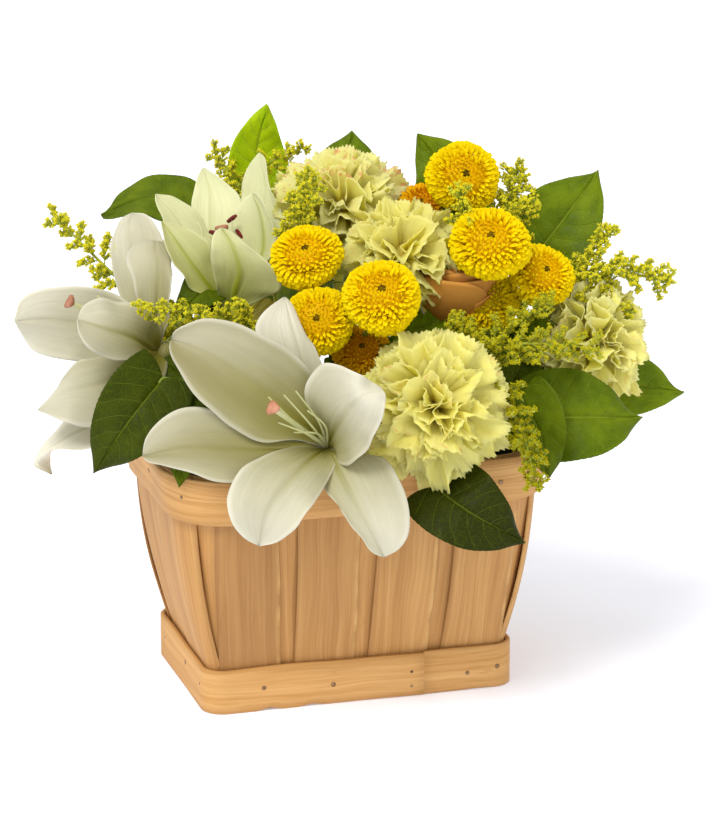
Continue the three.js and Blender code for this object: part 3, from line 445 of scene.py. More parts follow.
def leaf_skin(name, light, dark, vein, rough=0.44):
    """A leaf, darker away from its veins. Grain x is across from the midrib and y along it. Tone y
    darkens it with painted shade."""
    s = Shader(name)
    light, dark, vein = srgb(light), srgb(dark), srgb(vein)
    u, v, w = s.attribute("grain")
    _, painted_shade, top = s.attribute("tone")
    aside = s.math("ABSOLUTE", u)
    climb = s.mul(s.math("POWER", aside, 1.25), VEIN_RISE)
    jitter = s.mul(s.sub(s.noise(s.weave(u, 2.0, v, 3.0, w), detail=1.0), 0.5), 0.05)
    lane = s.mul(s.add(s.sub(v, climb), jitter), LATERALS)
    lane = s.add(lane, s.mul(s.math("GREATER_THAN", u, 0.0), 0.5))
    near = s.math("ABSOLUTE", s.sub(s.math("FRACT", lane), 0.5))
    side_vein = s.mul(s.band(near, 0.0, 0.055, 1.0, 0.0), s.band(aside, 0.75, 1.0, 1.0, 0.0))
    mid = s.band(aside, 0.0, 0.045, 1.0, 0.0)
    cells = {"Vector": s.weave(u, 10.0, v, 21.0, s.mul(w, 9.0)), "Scale": 1.0}
    net = s.node("ShaderNodeTexVoronoi", cells, feature="DISTANCE_TO_EDGE").outputs["Distance"]
    net = s.band(net, 0.0, 0.09, 1.0, 0.0)
    mottle = s.noise(s.weave(u, 1.6, v, 4.0, s.mul(w, 21.0)), detail=4.0)
    color = s.mix(s.band(mottle, 0.3, 0.72), dark, light)
    # painted shade, which also fades the veins and the net below
    color = s.mix(painted_shade, color, srgb(LEAF_SHADE))
    clear = s.sub(1.0, s.mul(painted_shade, 0.6))
    for lines, strength, ink in ((net, 0.26, light), (side_vein, 0.42, vein), (mid, 0.75, vein)):
        color = s.mix(s.mul(clear, s.mul(lines, strength)), color, ink)
    color = s.mix(s.mul(s.sub(1.0, top), 0.5), color, s.mix(0.5, light, LEAF_UNDER))
    sunk = s.add(s.mul(mid, 1.0), s.add(s.mul(side_vein, 0.7), s.mul(net, 0.22)))
    normal = s.bump(s.sub(0.0, sunk), 0.55, 0.8)
    roughness = s.band(mottle, 0.2, 0.8, rough - 0.05, rough + 0.12)
    return s.surface(color, roughness, normal, 0.2, s.mix(0.4, color, light), Specular_IOR_Level=0.12)


def plain(name, low, high, rough, scale, bump, through=0.0, **constants):
    """A mottled surface in the object's own space: stems, foam, plastic and small parts."""
    s = Shader(name)
    patch = s.noise(s.own_space(1 / scale), detail=5.0, rough=0.6)
    fine = s.noise(s.own_space(6 / scale), detail=2.0)
    color = s.mix(s.band(patch, 0.3, 0.7), srgb(low), srgb(high))
    roughness = s.band(fine, 0.2, 0.8, max(0.05, rough - 0.08), min(1.0, rough + 0.08))
    return s.surface(color, roughness, s.bump(fine, bump, 0.7), through, **constants)


LILY = {"rough": 0.42}
FRILLED = {"rough": 0.62, "through": 0.45, "ribs": 18.0, "rib_depth": 0.3, "shine": 0.1}
FLORET = {"ribs": 6.0}

M = {
    "splint": wood("splint_wood", (176, 125, 68), (190, 139, 79), (200, 150, 89), (212, 163, 101)),
    "band": wood("band_wood", (182, 130, 68), (199, 148, 84), (210, 160, 97), (222, 177, 114), coarse=0.8),
    # The lilies' shade colours are painted shade.
    "lily": petal(
        "lily_petal", (246, 243, 226), (142, 136, 50), (240, 236, 184), shade=(148, 140, 90),
        through=0.1, rib_depth=0.35, shine=0.15, **LILY,
    ),
    "lily_bud": petal(
        "lily_bud_petal", (240, 241, 196), (160, 168, 38), (238, 240, 170), shade=(180, 178, 104),
        rib_depth=0.3, shine=0.2, **LILY,
    ),
    "filament": plain("lily_filament", (206, 208, 142), (232, 232, 190), 0.45, 0.06, 0.2, through=0.2),
    "stigma": plain("lily_stigma", (160, 100, 70), (204, 142, 112), 0.5, 0.01, 0.5),
    "anther": plain("lily_anther", (96, 14, 10), (140, 34, 18), 0.8, 0.008, 0.6),
    "carnation": petal(
        "carnation_petal", (254, 252, 172), (246, 224, 84), (254, 248, 96), (226, 120, 100), **FRILLED
    ),
    "carnation_pale": petal(
        "carnation_petal_pale", (254, 253, 190), (248, 230, 108), (254, 250, 118), (236, 158, 138), **FRILLED
    ),
    # its deep colour is painted shade, laid towards the petals' bases and over the core
    "rose": petal(
        "rose_petal", (222, 158, 74), (146, 80, 10), (220, 140, 36), (190, 90, 60),
        rough=0.5, through=0.15, ribs=9.0, rib_depth=0.2, shine=0.1,
    ),
    "mum": petal("mum_floret", (255, 228, 2), (232, 176, 0), (255, 220, 0), (80, 60, 2), **FLORET),
    # a darker copy of the mum florets' colours: painted shade
    "mum_painted_shade": petal(
        "mum_floret_painted_shade", (248, 192, 4), (206, 128, 0), (248, 190, 0), (96, 50, 4), **FLORET
    ),
    "mum_green": petal(
        "mum_floret_green", (250, 222, 8), (186, 164, 4), (236, 210, 0), (90, 80, 2), **FLORET
    ),
    "mum_eye": plain("mum_eye", (70, 54, 2), (122, 92, 4), 0.9, 0.004, 0.5, Specular_IOR_Level=0.1),
    # its fleck colour is painted shade, dotted on where tone y says
    "goldenrod": petal(
        "goldenrod_floret", (250, 242, 56), (186, 178, 16), (226, 216, 14), (90, 78, 2),
        rough=0.65, ribs=4.0, rib_depth=0.1,
    ),
    "leaf": leaf_skin("leaf_skin", (128, 150, 14), (94, 118, 6), (150, 168, 52)),
    "leaf_bright": leaf_skin("leaf_skin_bright", (196, 222, 16), (166, 202, 8), (212, 228, 90), rough=0.5),
    "stem": plain("green_stem", (84, 108, 16), (136, 154, 44), 0.5, 0.02, 0.15),
    "twig": plain("goldenrod_twig", (142, 154, 26), (186, 188, 44), 0.6, 0.01, 0.15),
    "nail": plain("nail_head", (96, 72, 50), (168, 138, 104), 0.45, 0.004, 0.2, Metallic=0.55),
    "liner": plain("liner_plastic", (26, 34, 22), (44, 54, 36), 0.38, 0.05, 0.1),
    "foam": plain("floral_foam", (32, 62, 26), (66, 102, 48), 0.95, 0.006, 0.8),
    "board": plain("board_wood", (168, 120, 70), (206, 160, 106), 0.75, 0.03, 0.3),
}

for kept, skin in (("bottom_board", "board"), ("liner", "liner"), ("floral_foam", "foam")):
    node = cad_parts[kept]
    node.data.materials.clear()
    node.data.materials.append(M[skin])

# ---------------------------------------------------------------- basket

BASE = {"width": 171, "depth": 110, "corner": 12}
RIM = {"width": 212, "depth": 150, "corner": 38}
HEIGHT, BELLY = 134.0, 0.3
BASE_BAND, RIM_BAND = 24.0, 25.0
BAND_THICK, INNER_BAND_THICK, SPLINT_THICK, FIT = 2.5, 1.8, 1.2, 0.35
SPLINT_OUT = -(BAND_THICK + 2 * FIT)
SPLINT_IN = SPLINT_OUT - 2 * SPLINT_THICK
OUTER_LAYER = SPLINT_OUT - SPLINT_THICK / 2
INNER_LAYER = SPLINT_OUT - 1.5 * SPLINT_THICK - 0.1
LAP = {"end": 34.0, "reach": 30.0, "rise": 0.8}  # the base band's outer end, over its inner one
STRAIGHT = BEND = 14  # steps along a side and round a corner
COLUMNS = 15  # points across a splint
LEVELS = np.concatenate([np.linspace(1, BASE_BAND, 5), np.linspace(BASE_BAND, HEIGHT, 30)[1:]])
MIDWAY = 60  # the height at which a splint's width and lean are taken
TURNS = {"front": -90, "right": 0, "back": 90, "left": 180}


def flare(z):
    h = max(0.0, z - BASE_BAND) / (HEIGHT - BASE_BAND)
    return h + BELLY * h * (1 - h)


def outline(z, offset=0.0):
    f = flare(z)
    size = lambda key: BASE[key] + (RIM[key] - BASE[key]) * f
    return size("width") / 2 + offset, size("depth") / 2 + offset, max(3.0, size("corner") + offset)


def loop(z, offset):
    """A rounded rectangle, from the lap in the front wall and back to it, counterclockwise from
    above."""
    w, d, c = outline(z, offset)
    corners = [(w - c, -d + c, -90), (w - c, d - c, 0), (-w + c, d - c, 90), (-w + c, -d + c, 180)]
    starts = [(LAP["end"], -d), (w, -d + c), (w - c, d), (-w, d - c), (-w + c, -d)]
    ends = [(w - c, -d), (w, d - c), (-w + c, d), (-w, -d + c), (LAP["end"] - 0.25, -d)]
    points = []
    for k, (start, end) in enumerate(zip(starts, ends)):
        a, b = np.array(start, float), np.array(end, float)
        count = STRAIGHT if k else STRAIGHT // 3
        points += [a + (b - a) * i / count for i in range(count)]
        if k < len(corners):
            x, y, turn = corners[k]
            for angle in (math.radians(turn + 90 * i / BEND) for i in range(BEND)):
                points.append(np.array([x + c * math.cos(angle), y + c * math.sin(angle)]))
    points.append(np.array(ends[-1]))
    return np.column_stack([np.array(points), np.full(len(points), z)])


def lapped(x):
    """How far the lap lifts the base band's front at x."""
    past = np.clip((x - LAP["end"] + LAP["reach"]) / LAP["reach"], 0, 1) * (x < LAP["end"])
    return LAP["rise"] * past**2 * (3 - 2 * past)


def band_strip(form, low, high, offset, thick, upright, seed, chips=()):
    """A bent wooden strip that runs all round, with softened edges. The upright one is lapped."""
    soft = min(0.45, thick / 4)
    tall = high - low
    p = []
    for z, inner in [
        (soft, 0), (tall * 0.25, 0), (tall * 0.5, 0), (tall * 0.75, 0), (tall - soft, 0),
        (tall, soft), (tall, thick - soft), (tall - soft, thick), (tall * 0.5, thick), (soft, thick),
        (0, thick - soft), (0, soft),
    ]:
        p.append(loop(0.0 if upright else low + z, offset - inner))
        p[-1][:, 2] = low + z
    p = np.array(p)
    rows, n, _ = p.shape
    face = p[2]
    length = lengths(face)
    outward = unit(np.stack([np.gradient(face[:, 1]), -np.gradient(face[:, 0]), np.zeros(n)], axis=1))
    top = np.array([0, 0, 0, 0, 1, 1, 1, 1, 0, 0, 0, 0])[:, None]
    foot = np.array([1, 0.4, 0, 0, 0, 0, 0, 0, 0, 0.6, 1, 1])[:, None]
    waver = 0.22 * np.sin(length / 23.0 + seed) + 0.14 * np.sin(length / 9.1 + 2 * seed)
    p[..., 2] += waver * top * 1.6
    p[..., 2] += 0.3 * np.sin(length / 31.0 + 3 * seed) ** 2 * foot
    p += outward * (0.16 * np.sin(length / 17.0 + seed * 5))[:, None]
    if upright:
        p[:7] += outward * (lapped(face[:, 0]) * (face[:, 1] < 0))[:, None]
    for x, wide, deep in chips:
        bite = deep * np.exp(-((p[0][:, 0] - x) / wide) ** 2) * (p[0][:, 1] < 0)
        for row, share in ((11, 1.0), (0, 1.0), (10, 0.6)):
            p[row, :, 2] += bite * share
    grain = np.stack(np.broadcast_arrays(length, lengths(p[:, 0])[:, None] + seed * 7, seed), axis=-1)
    worn = np.zeros((rows, n))
    worn[[0, 4, 5, 11]] = 0.06
    worn[[10, 6]] = 0.25
    faces = grid(rows + 1, n, wrap=True) % (rows * n)
    form.add(p.reshape(-1, 3), [faces], grain.reshape(-1, 3), tones(worn).reshape(-1, 3))


def nail(form, place, outward, seed):
    head = [[0.0, -0.6], [0.95, -0.6], [1.05, 0.05], [0.8, 0.2], [0.0, 0.24]]
    turned(form, head, place, outward, 12, seed=seed, slot=1)
    stain = [[0.0, -0.6], [1.55, -0.6], [1.4, 0.03], [0.0, 0.06]]
    turned(form, stain, place - [0, 0, 0.1], outward, 12, tone=(0.45, 0, 0), seed=seed)


def on_wall(upright, side, place, z):
    """A point on a band's outside, and the way it faces. place is along the wall."""
    w, d, c = outline(0.0 if upright else z)
    long, reach = (w, d) if side in ("front", "back") else (d, w)
    past = max(0.0, abs(place) - (long - c))
    out = reach - c + math.sqrt(c * c - past * past) if past else reach
    if upright and side == "front":
        out = out + lapped(place)
    lean = math.asin(past / c) * (1 if place > 0 else -1)
    ahead, aside = spoke(np.array([1.0, 0, 0]), np.array([0, 1.0, 0]), math.radians(TURNS[side]))
    way = ahead * math.cos(lean) + aside * math.sin(lean) - [0, 0, 0.0 if upright else 0.18]
    return ahead * out + aside * place + [0, 0, z], way


def wooden_band(node, low, high, offset, thick, upright, seed, nails=None, chips=()):
    form = Form()
    band_strip(form, low, high, offset, thick, upright, seed, chips)
    spots = [(side, *spot) for side, row in (nails or {}).items() for spot in row]
    for k, spot in enumerate(spots):
        nail(form, *on_wall(upright, *spot), 0.1 * k)
    form.build(f"{node}_wood", [node], ["band", "nail"] if nails else ["band"], "band")


RIM_LOW = HEIGHT - RIM_BAND
wooden_band("base_band", 0.0, BASE_BAND, 0.0, BAND_THICK, True, 0.3, {
    "front": [(-54, 13), (-16, 11), (27, 14), (27, 6), (58, 10), (75, 12)],
    "left": [(-36, 13), (10, 15), (42, 14)],
    "right": [(-30, 12), (22, 12)],
    "back": [(-60, 12), (-5, 11), (52, 13)],
}, chips=((-50.8, 2.6, 1.6), (-29.0, 3.0, 1.5), (66.0, 4.0, 0.5)))
wooden_band("rim_band_outer", RIM_LOW, HEIGHT, 0.0, BAND_THICK, False, 0.62, {
    "front": [(-54, 121), (14, 122), (70, 121)], "left": [(14, 125), (58, 123), (-34, 122)],
    "right": [(-22, 121), (34, 121)], "back": [(-60, 121), (20, 121)],
})
wooden_band("rim_band_inner", RIM_LOW, HEIGHT, SPLINT_IN - 2 * FIT, INNER_BAND_THICK, False, 0.81)


def reach_at(place, half_length, half_reach, corner):
    past = np.abs(place) - (half_length - corner)
    bent = np.sqrt(np.maximum(0.0, corner**2 - np.minimum(np.maximum(past, 0), corner) ** 2))
    return np.where(past <= 0, half_reach, half_reach - corner + bent)


def splint(form, wall, left, right, offset, seed, curl=(0, 0), bow=0.0, torn=(0, 0), painted_shading=(0.0, 0.0)):
    """One upright splint. left and right give its edges along the wall at each height. bow is how
    far its middle stands off between the bands, and curl how far its left and right edges do.
    painted_shading is how much painted shade darkens it and how much painted light lightens it."""
    frontal, turn = wall
    share = np.linspace(0, 1, COLUMNS)
    edge = curl[0] * (1 - share) ** 3 + curl[1] * share**3
    rows = []
    for z in LEVELS:
        w, d, c = outline(z)
        a, b = left(z), right(z)
        place = a + (b - a) * share
        free = math.sin(math.pi * min(1, max(0, (z - BASE_BAND) / (HEIGHT - RIM_BAND - BASE_BAND))))
        off = (bow + edge) * free
        length, reach = np.array((w, d) if frontal else (d, w)) + offset
        corner = max(3.0, c + offset)
        lean = np.arcsin(np.clip((np.abs(place) - (length - corner)) / corner, 0, 1)) * np.sign(place)
        out = reach_at(place, length, reach, corner) + off * np.cos(lean)
        place = place + off * np.sin(lean)
        x, y = (place, -out) if frontal else (out, place)
        rows.append(np.column_stack([x * turn, y * turn, np.full(COLUMNS, z)]))
    p = np.array(rows)
    across = share * abs(right(MIDWAY) - left(MIDWAY)) + seed * 40
    grain = np.stack(np.broadcast_arrays(LEVELS[:, None], across, seed), axis=-1)
    # painted shade in tone x and painted light in tone y, the same over the whole splint
    tone = np.zeros(p.shape) + [*painted_shading, 0.0]
    tone[:, [0, -1], 0] += 0.12
    tone[:4, :, 0] += 0.1
    ragged = 0.5 + 0.5 * np.sin(LEVELS * 0.31 + seed * 20) * np.sin(LEVELS * 0.07 + seed * 9)
    for column, amount in zip((0, -1), torn):
        if amount:
            tone[:, column, 0] = 0.0
            tone[:, column, 1] = amount * ragged
    sheet(form, p, SPLINT_THICK, grain, tone)


def grow(z, spread):
    return 1 + (spread - 1) * flare(z)


def broad_edges(middle, lean, slack, taper):
    """The left and the right edge of a splint in a long wall."""
    place = lambda z: middle * grow(z, 1.08) + lean * (z - MIDWAY)
    left = lambda z: place(z) - 16.5 + slack + taper * flare(z) + 0.2 * math.sin(z / 17 + slack * 9)
    right = lambda z: place(z) + 16.5 + slack - taper * flare(z) + 0.25 * math.sin(z / 9 + slack * 7)
    return left, right


def long_wall(side, turn, seed):
    """The front or the back wall, with an inner splint in each gap and at each end."""
    form, wall = Form(), (True, turn)
    dice = np.random.default_rng(seed)
    end = lambda z: 79 * grow(z, 1.165)
    edges = [lambda z: -end(z)]
    # each outer splint's painted shade and painted light; the one at -61 is painted darkest
    for middle, painted_shading in ((-61, (0.28, 0.0)), (-20.5, (0.06, 0.0)), (20.5, (0.0, 0.02)), (61, (0.02, 0.0))):
        lean, slack, taper = dice.uniform(-0.012, 0.012), dice.uniform(-0.4, 0.4), dice.uniform(-0.5, 0.5)
        left, right = broad_edges(middle, lean, slack, taper)
        loose = {"curl": (0.9, 0.1), "bow": 0.7, "torn": (0, 0.85), "painted_shading": painted_shading}
        splint(form, wall, left, right, OUTER_LAYER, dice.uniform(0, 1), **loose)
        edges += [lambda z, e=left: e(z) + 4.0, lambda z, e=right: e(z) - 4.0]
    edges.append(end)
    for left, right in zip(edges[::2], edges[1::2]):
        splint(form, wall, left, right, INNER_LAYER, dice.uniform(0, 1))
    form.build(f"{side}_splints", [f"splints_{side}"], ["splint"], "splint")


def slope(low, high):
    """An edge that runs from one place at the base to another at the rim."""
    return lambda z: low + (high - low) * flare(z)


def short_wall(side, turn, seed, rows):
    """A side wall. Its splints are wider, lie partly over each other and stand off the wall. rows
    hold each one's left and right edge, its depth, its bow and how its edges curl."""
    form, wall = Form(), (False, turn)
    dice = np.random.default_rng(seed)
    for left, right, deep, bow, curl in rows:
        loose = {"curl": curl, "bow": bow, "torn": (0.5, 0)}
        splint(form, wall, slope(*left), slope(*right), OUTER_LAYER + deep, dice.uniform(0, 1), **loose)
    for a, b in ((-47.0, -17.0), (-17.0, 15.0), (15.0, 47.0)):
        ends = slope(a, a * 1.26), slope(b + 0.6, b * 1.26 + 0.6)
        splint(form, wall, *ends, INNER_LAYER, dice.uniform(0, 1))
    form.build(f"{side}_splints", [f"splints_{side}"], ["splint"], "splint")


long_wall("front", 1, 11)
long_wall("back", -1, 12)
short_wall("right", 1, 13, [
    ((-51.0, -59.0), (-8.0, -10.0), 0.0, 1.6, (0.6, 0.4)),
    ((-5.0, -4.0), (26.0, 33.0), 0.0, 1.6, (0.4, 0.4)),
    ((29.0, 37.0), (51.0, 60.0), 0.0, 2.2, (0.4, 0.4)),
])
short_wall("left", -1, 14, [
    ((1.0, 2.0), (51.0, 60.0), 0.0, 1.5, (0.5, 0.8)),
    ((-35.0, -46.0), (5.0, -1.5), -0.4, 0.6, (0.6, 0.2)),
    ((-51.0, -61.0), (-39.0, -50.0), 0.0, 1.8, (0.4, 0.4)),
])

# ---------------------------------------------------------------- stems

FOAM = (62.0, 42.0, 140.0)
STEM_ORIGIN = np.array([0.0, 0.0, 40.0])
STEM = {"lily": 2.6, "carnation": 1.9, "mum": 1.7, "rose": 2.0, "leaf": 1.5}
STEM_DEPTH = 20.0
SEEDS = {"lily": 0, "carnation": 500, "rose": 77, "spray": 870, "mum": 900, "leaf": 0, "goldenrod": 1300}


def rooting(place):
    """Where a stem that leads to a place enters the foam, and where it ends in it."""
    way = unit(place - STEM_ORIGIN)
    room = [FOAM[0] / abs(way[0]), FOAM[1] / abs(way[1]), (FOAM[2] - STEM_ORIGIN[2]) / way[2]]
    leave = min(r for r in room if r > 0)
    return STEM_ORIGIN + way * leave, STEM_ORIGIN + way * (leave - STEM_DEPTH)


def stem(form, places, radius, slot=0, seed=0.0):
    tube(form, [*places, *rooting(places[-1])], radius, 10, 26, seed=seed, slot=slot)


def narrow_leaf(form, place, way, long, wide, dice, slot):
    """A narrow leaf, like those below a goldenrod's plume."""
    uu, vv = lattice(14, 5)
    forward = unit(way)
    side, up = bearings(forward, [dice.uniform(-0.4, 0.4), dice.uniform(-0.4, 0.4), 1.0])
    half = wide / 2 * (np.sin(math.pi * np.clip(vv, 0.02, 0.98) ** 0.8) ** 0.8)
    droop = -long * dice.uniform(0.1, 0.3) * vv**2
    p = laid(place, (vv * long, forward), (uu * half, side), (droop + 0.35 * np.abs(uu) * half, up))
    sheet(form, p, 0.3, marks(uu, vv, dice), np.zeros(p.shape), slot)


def lobed_leaf(form, place, way, face, long, wide, dice):
    """A small lobed leaf of a chrysanthemum."""
    uu, vv = lattice(30, 13)
    forward = unit(way)
    side, up = bearings(forward, face)
    off = np.abs(uu)
    lobes = 0.72 + 0.28 * np.cos(vv * 3.5 * 2 * math.pi + 0.6)
    half = wide / 2 * np.sin(math.pi * np.clip(vv, 0.02, 0.99) ** 1.25) ** 0.7 * lobes
    lift = 0.16 * wide * off + 0.05 * long * np.sin(vv * 7 + uu * 2) * off - long * 0.18 * vv**2
    p = laid(place, (vv * long + off * half * 0.35, forward), (uu * half, side), (lift, up))
    sheet(form, p, 0.35, marks(uu, vv, dice), np.zeros(p.shape), 1)


# ---------------------------------------------------------------- lilies

# Each petal: how much painted shade it has and how wide it is, its cup, how much its outside shows,
# the way it faces, the line of its middle, and the rim on either side as it is seen.
LILIES = [
    {"name": "lily_front", "throat": (-3, 4, 68), "away": (0.5, -0.4, -0.8),
     "pistil": [(-15, 13, 88), (-30, 24, 110)],
     "filaments": [
        (-33, 30, 104), (-25, 31, 106), (-19, 33, 102), (-28, 17, 106), (-13, 23, 104), (-20, 12, 98),
     ],
     "petals": [
        (0.95, 58, 0.12, 0, (0.2, -0.3, 1), [(-17, 18, 82), (-43, 38, 96), (-66, 53, 99), (-83, 60, 92)],
         [(-4, 13), (-6, 28), (-11, 42), (-17, 49), (-27, 57), (-43, 65), (-56, 69), (-66, 70), (-73, 68),
          (-81, 64)],
         [(-17, 8), (-37, 7), (-52, 15), (-62, 23), (-68, 28), (-73, 34), (-79, 44), (-83, 51), (-84, 56)]),
        (0.3, 40, 0.08, 0, (0.5, 0, 1), [(-8, 21, 76), (-15, 46, 86), (-21, 67, 86), (-25, 82, 77)],
         [(-3, 28), (-4, 43), (-11, 57), (-17, 69), (-22, 79)],
         [(-17, 28), (-33, 52), (-40, 64), (-37, 72), (-31, 78)]),
        (0.36, 52, 0.24, 0, (-0.9, -0.4, 0.5), [(1, 14, 88), (8, 24, 108), (15, 30, 121), (24, 35, 118)],
         [(1, 4), (3, -4), (8, -5), (14, 0), (20, 9), (25, 19), (26, 25), (26, 31)],
         [(-3, 10), (-10, 20), (-14, 28), (-14, 36), (-10, 43), (-5, 47), (3, 46), (14, 41)]),
        (0.55, 36, 0.06, 0, (-0.1, 0.3, 1), [(0, -3, 84), (8, -18, 94), (18, -36, 97), (26, -52, 92)],
         [(-6, -8), (-4, -17), (4, -27), (13, -41), (21, -50)],
         [(9, 2), (26, -1), (34, -13), (37, -20), (39, -31), (38, -41), (33, -48)]),
        (0.5, 50, 0.1, 0, (0, 0.2, 1), [(-11, -1, 87), (-22, -12, 104), (-33, -28, 108), (-38, -46, 100)],
         [(-8, 4), (-22, 5), (-37, -1), (-47, -7), (-52, -15), (-54, -24), (-51, -35), (-45, -42)],
         [(-2, 5), (2, 0), (1, -5), (-4, -15), (-12, -27), (-22, -39), (-29, -44)]),
        (0.9, 40, 0.08, 0, (0, 0.1, 1), [(-20, 3, 82), (-48, 3, 92), (-76, 4, 95), (-98, 0, 91)],
         [(-8, 5), (-22, 8), (-40, 10), (-56, 21), (-68, 25), (-79, 24), (-89, 18), (-96, 9)],
         [(-11, 2), (-22, -8), (-40, -14), (-53, -14), (-61, -13), (-74, -8), (-86, -5), (-95, -3)]),
    ]},
    {"name": "lily_upright", "throat": (-56, 76, 15), "away": (0.2, -1, -0.1), "bud": True,
     "pistil": [(-57, 98, 15), (-59, 120, 9)],
     "filaments": [(-54, 126, 10), (-63, 118, 18), (-50, 118, 4)],
     "petals": [
        (0.1, 32, 0.14, 0, (0, -0.2, 1), [(-59, 91, 10), (-65, 118, -4), (-66, 140, -12), (-70, 155, -14)],
         [(-57, 91), (-51, 115), (-50, 138), (-56, 145), (-65, 152)],
         [(-63, 89), (-71, 118), (-76, 134), (-75, 142), (-73, 150)]),
        (0.1, 26, 0.16, 0, (-0.6, 0, 0.8), [(-51, 91, 8), (-41, 118, -8), (-37, 143, -14), (-40, 163, -16)],
         [(-46, 91), (-27, 116), (-29, 131), (-35, 148), (-37, 160)],
         [(-55, 91), (-50, 121), (-50, 137), (-49, 148), (-45, 157)]),
        (0.3, 24, 0.1, 0, (0.6, 0.4, 0.6), [(-63, 90, 14), (-74, 112, 4), (-86, 130, 0), (-95, 140, -2)],
         [(-61, 91), (-65, 113), (-70, 126), (-78, 134), (-86, 139)],
         [(-69, 91), (-86, 112), (-92, 128), (-95, 136)]),
        (0.75, 32, -0.14, 1, (-0.5, 0.2, -0.9),
         [(-64, 87, 22), (-76, 102, 28), (-84, 114, 28), (-91, 124, 24)],
         [(-68, 85), (-76, 89), (-82, 99), (-87, 108), (-90, 116)],
         [(-59, 87), (-64, 102), (-65, 112), (-71, 117), (-78, 121)]),
        (0.15, 28, -0.12, 1, (0.8, 0, -0.6), [(-47, 90, 18), (-37, 109, 12), (-38, 128, 10), (-43, 140, 8)],
         [(-50, 91), (-53, 112), (-56, 121), (-54, 129), (-49, 136)],
         [(-40, 91), (-35, 101), (-31, 116), (-34, 128), (-40, 138)]),
        (0.55, 38, -0.14, 1, (0.1, -0.2, -1), [(-52, 87, 28), (-49, 98, 36), (-53, 110, 38), (-59, 120, 34)],
         [(-59, 80), (-62, 90), (-64, 102), (-64, 112), (-62, 118)],
         [(-38, 82), (-27, 88), (-30, 97), (-39, 105), (-48, 113), (-54, 118)]),
    ]},
    {"name": "lily_left", "throat": (-92, 55, 25), "away": (0.9, -0.4, -0.3),
     "pistil": [(-110, 66, 38), (-137, 80, 50)],
     "filaments": [(-128, 76, 42), (-124, 84, 40), (-130, 68, 44)],
     "petals": [
        (0.35, 42, 0.08, 0, (0, -0.1, 1), [(-108, 63, 22), (-129, 69, 22), (-150, 72, 26), (-168, 71, 32)],
         [(-94, 66), (-110, 82), (-127, 89), (-144, 89), (-157, 87), (-165, 82)],
         [(-97, 50), (-123, 49), (-149, 52), (-159, 56), (-165, 65)]),
        (0.6, 38, -0.14, 0.7, (0.2, 0.5, 1), [(-97, 56, 38), (-104, 61, 52), (-117, 66, 61), (-133, 71, 64)],
         [(-90, 68), (-98, 77), (-111, 81), (-122, 82), (-130, 78)],
         [(-88, 52), (-90, 38), (-99, 49), (-115, 50), (-127, 56), (-132, 64)]),
        (0.5, 34, -0.08, 0, (-0.2, 0.6, 0.8),
         [(-104, 47, 34), (-121, 38, 44), (-140, 34, 48), (-155, 24, 44)],
         [(-99, 53), (-122, 53), (-135, 49), (-142, 40), (-149, 30)],
         [(-96, 37), (-112, 21), (-127, 15), (-141, 18), (-150, 22)]),
        (0.1, 30, 0.05, 0, (-0.3, 0.6, 0.7),
         [(-101, 41, 28), (-118, 21, 34), (-140, 10, 34), (-156, -2, 28), (-149, -10, 22)],
         [(-107, 41), (-128, 25), (-142, 19), (-149, 12), (-155, 3), (-158, -5)],
         [(-97, 32), (-107, 13), (-124, 4), (-142, 4), (-148, 3), (-150, -4)]),
        (0.5, 36, 0.08, 0, (-0.4, 0.2, 1), [(-98, 72, 14), (-106, 99, 2), (-110, 120, -8), (-109, 131, -22)],
         [(-93, 72), (-88, 94), (-90, 112), (-94, 121), (-100, 129)],
         [(-103, 67), (-115, 88), (-119, 107), (-118, 120), (-114, 128)]),
        (0.7, 34, 0.08, 0, (-0.5, 0.4, 1), [(-93, 74, 30), (-93, 98, 32), (-94, 113, 22), (-93, 112, 6)],
         [(-87, 72), (-85, 87), (-85, 102), (-88, 111), (-90, 115)],
         [(-100, 71), (-104, 84), (-106, 94), (-110, 106), (-106, 111)]),
    ]},
]
LILY_FOOT = [[0.0, -9.5], [3.6, -9.0], [6.0, -6.0], [6.6, -1.5], [5.0, 1.5], [0.0, 2.0]]
STIGMA = [[0.0, -1.6], [2.2, -1.0], [3.6, 0.6], [3.4, 1.9], [1.6, 2.3], [0.0, 1.9]]
ANTHER = [[0.0, -3.4], [0.9, -3.0], [1.25, -1.0], [1.2, 1.2], [0.8, 3.0], [0.0, 3.4]]


def petal_breadth(v):
    return np.sin(math.pi * (0.01 + 0.94 * v**1.5)) ** 0.9


def ridge(x, width):
    return np.exp(-((x / width) ** 2))


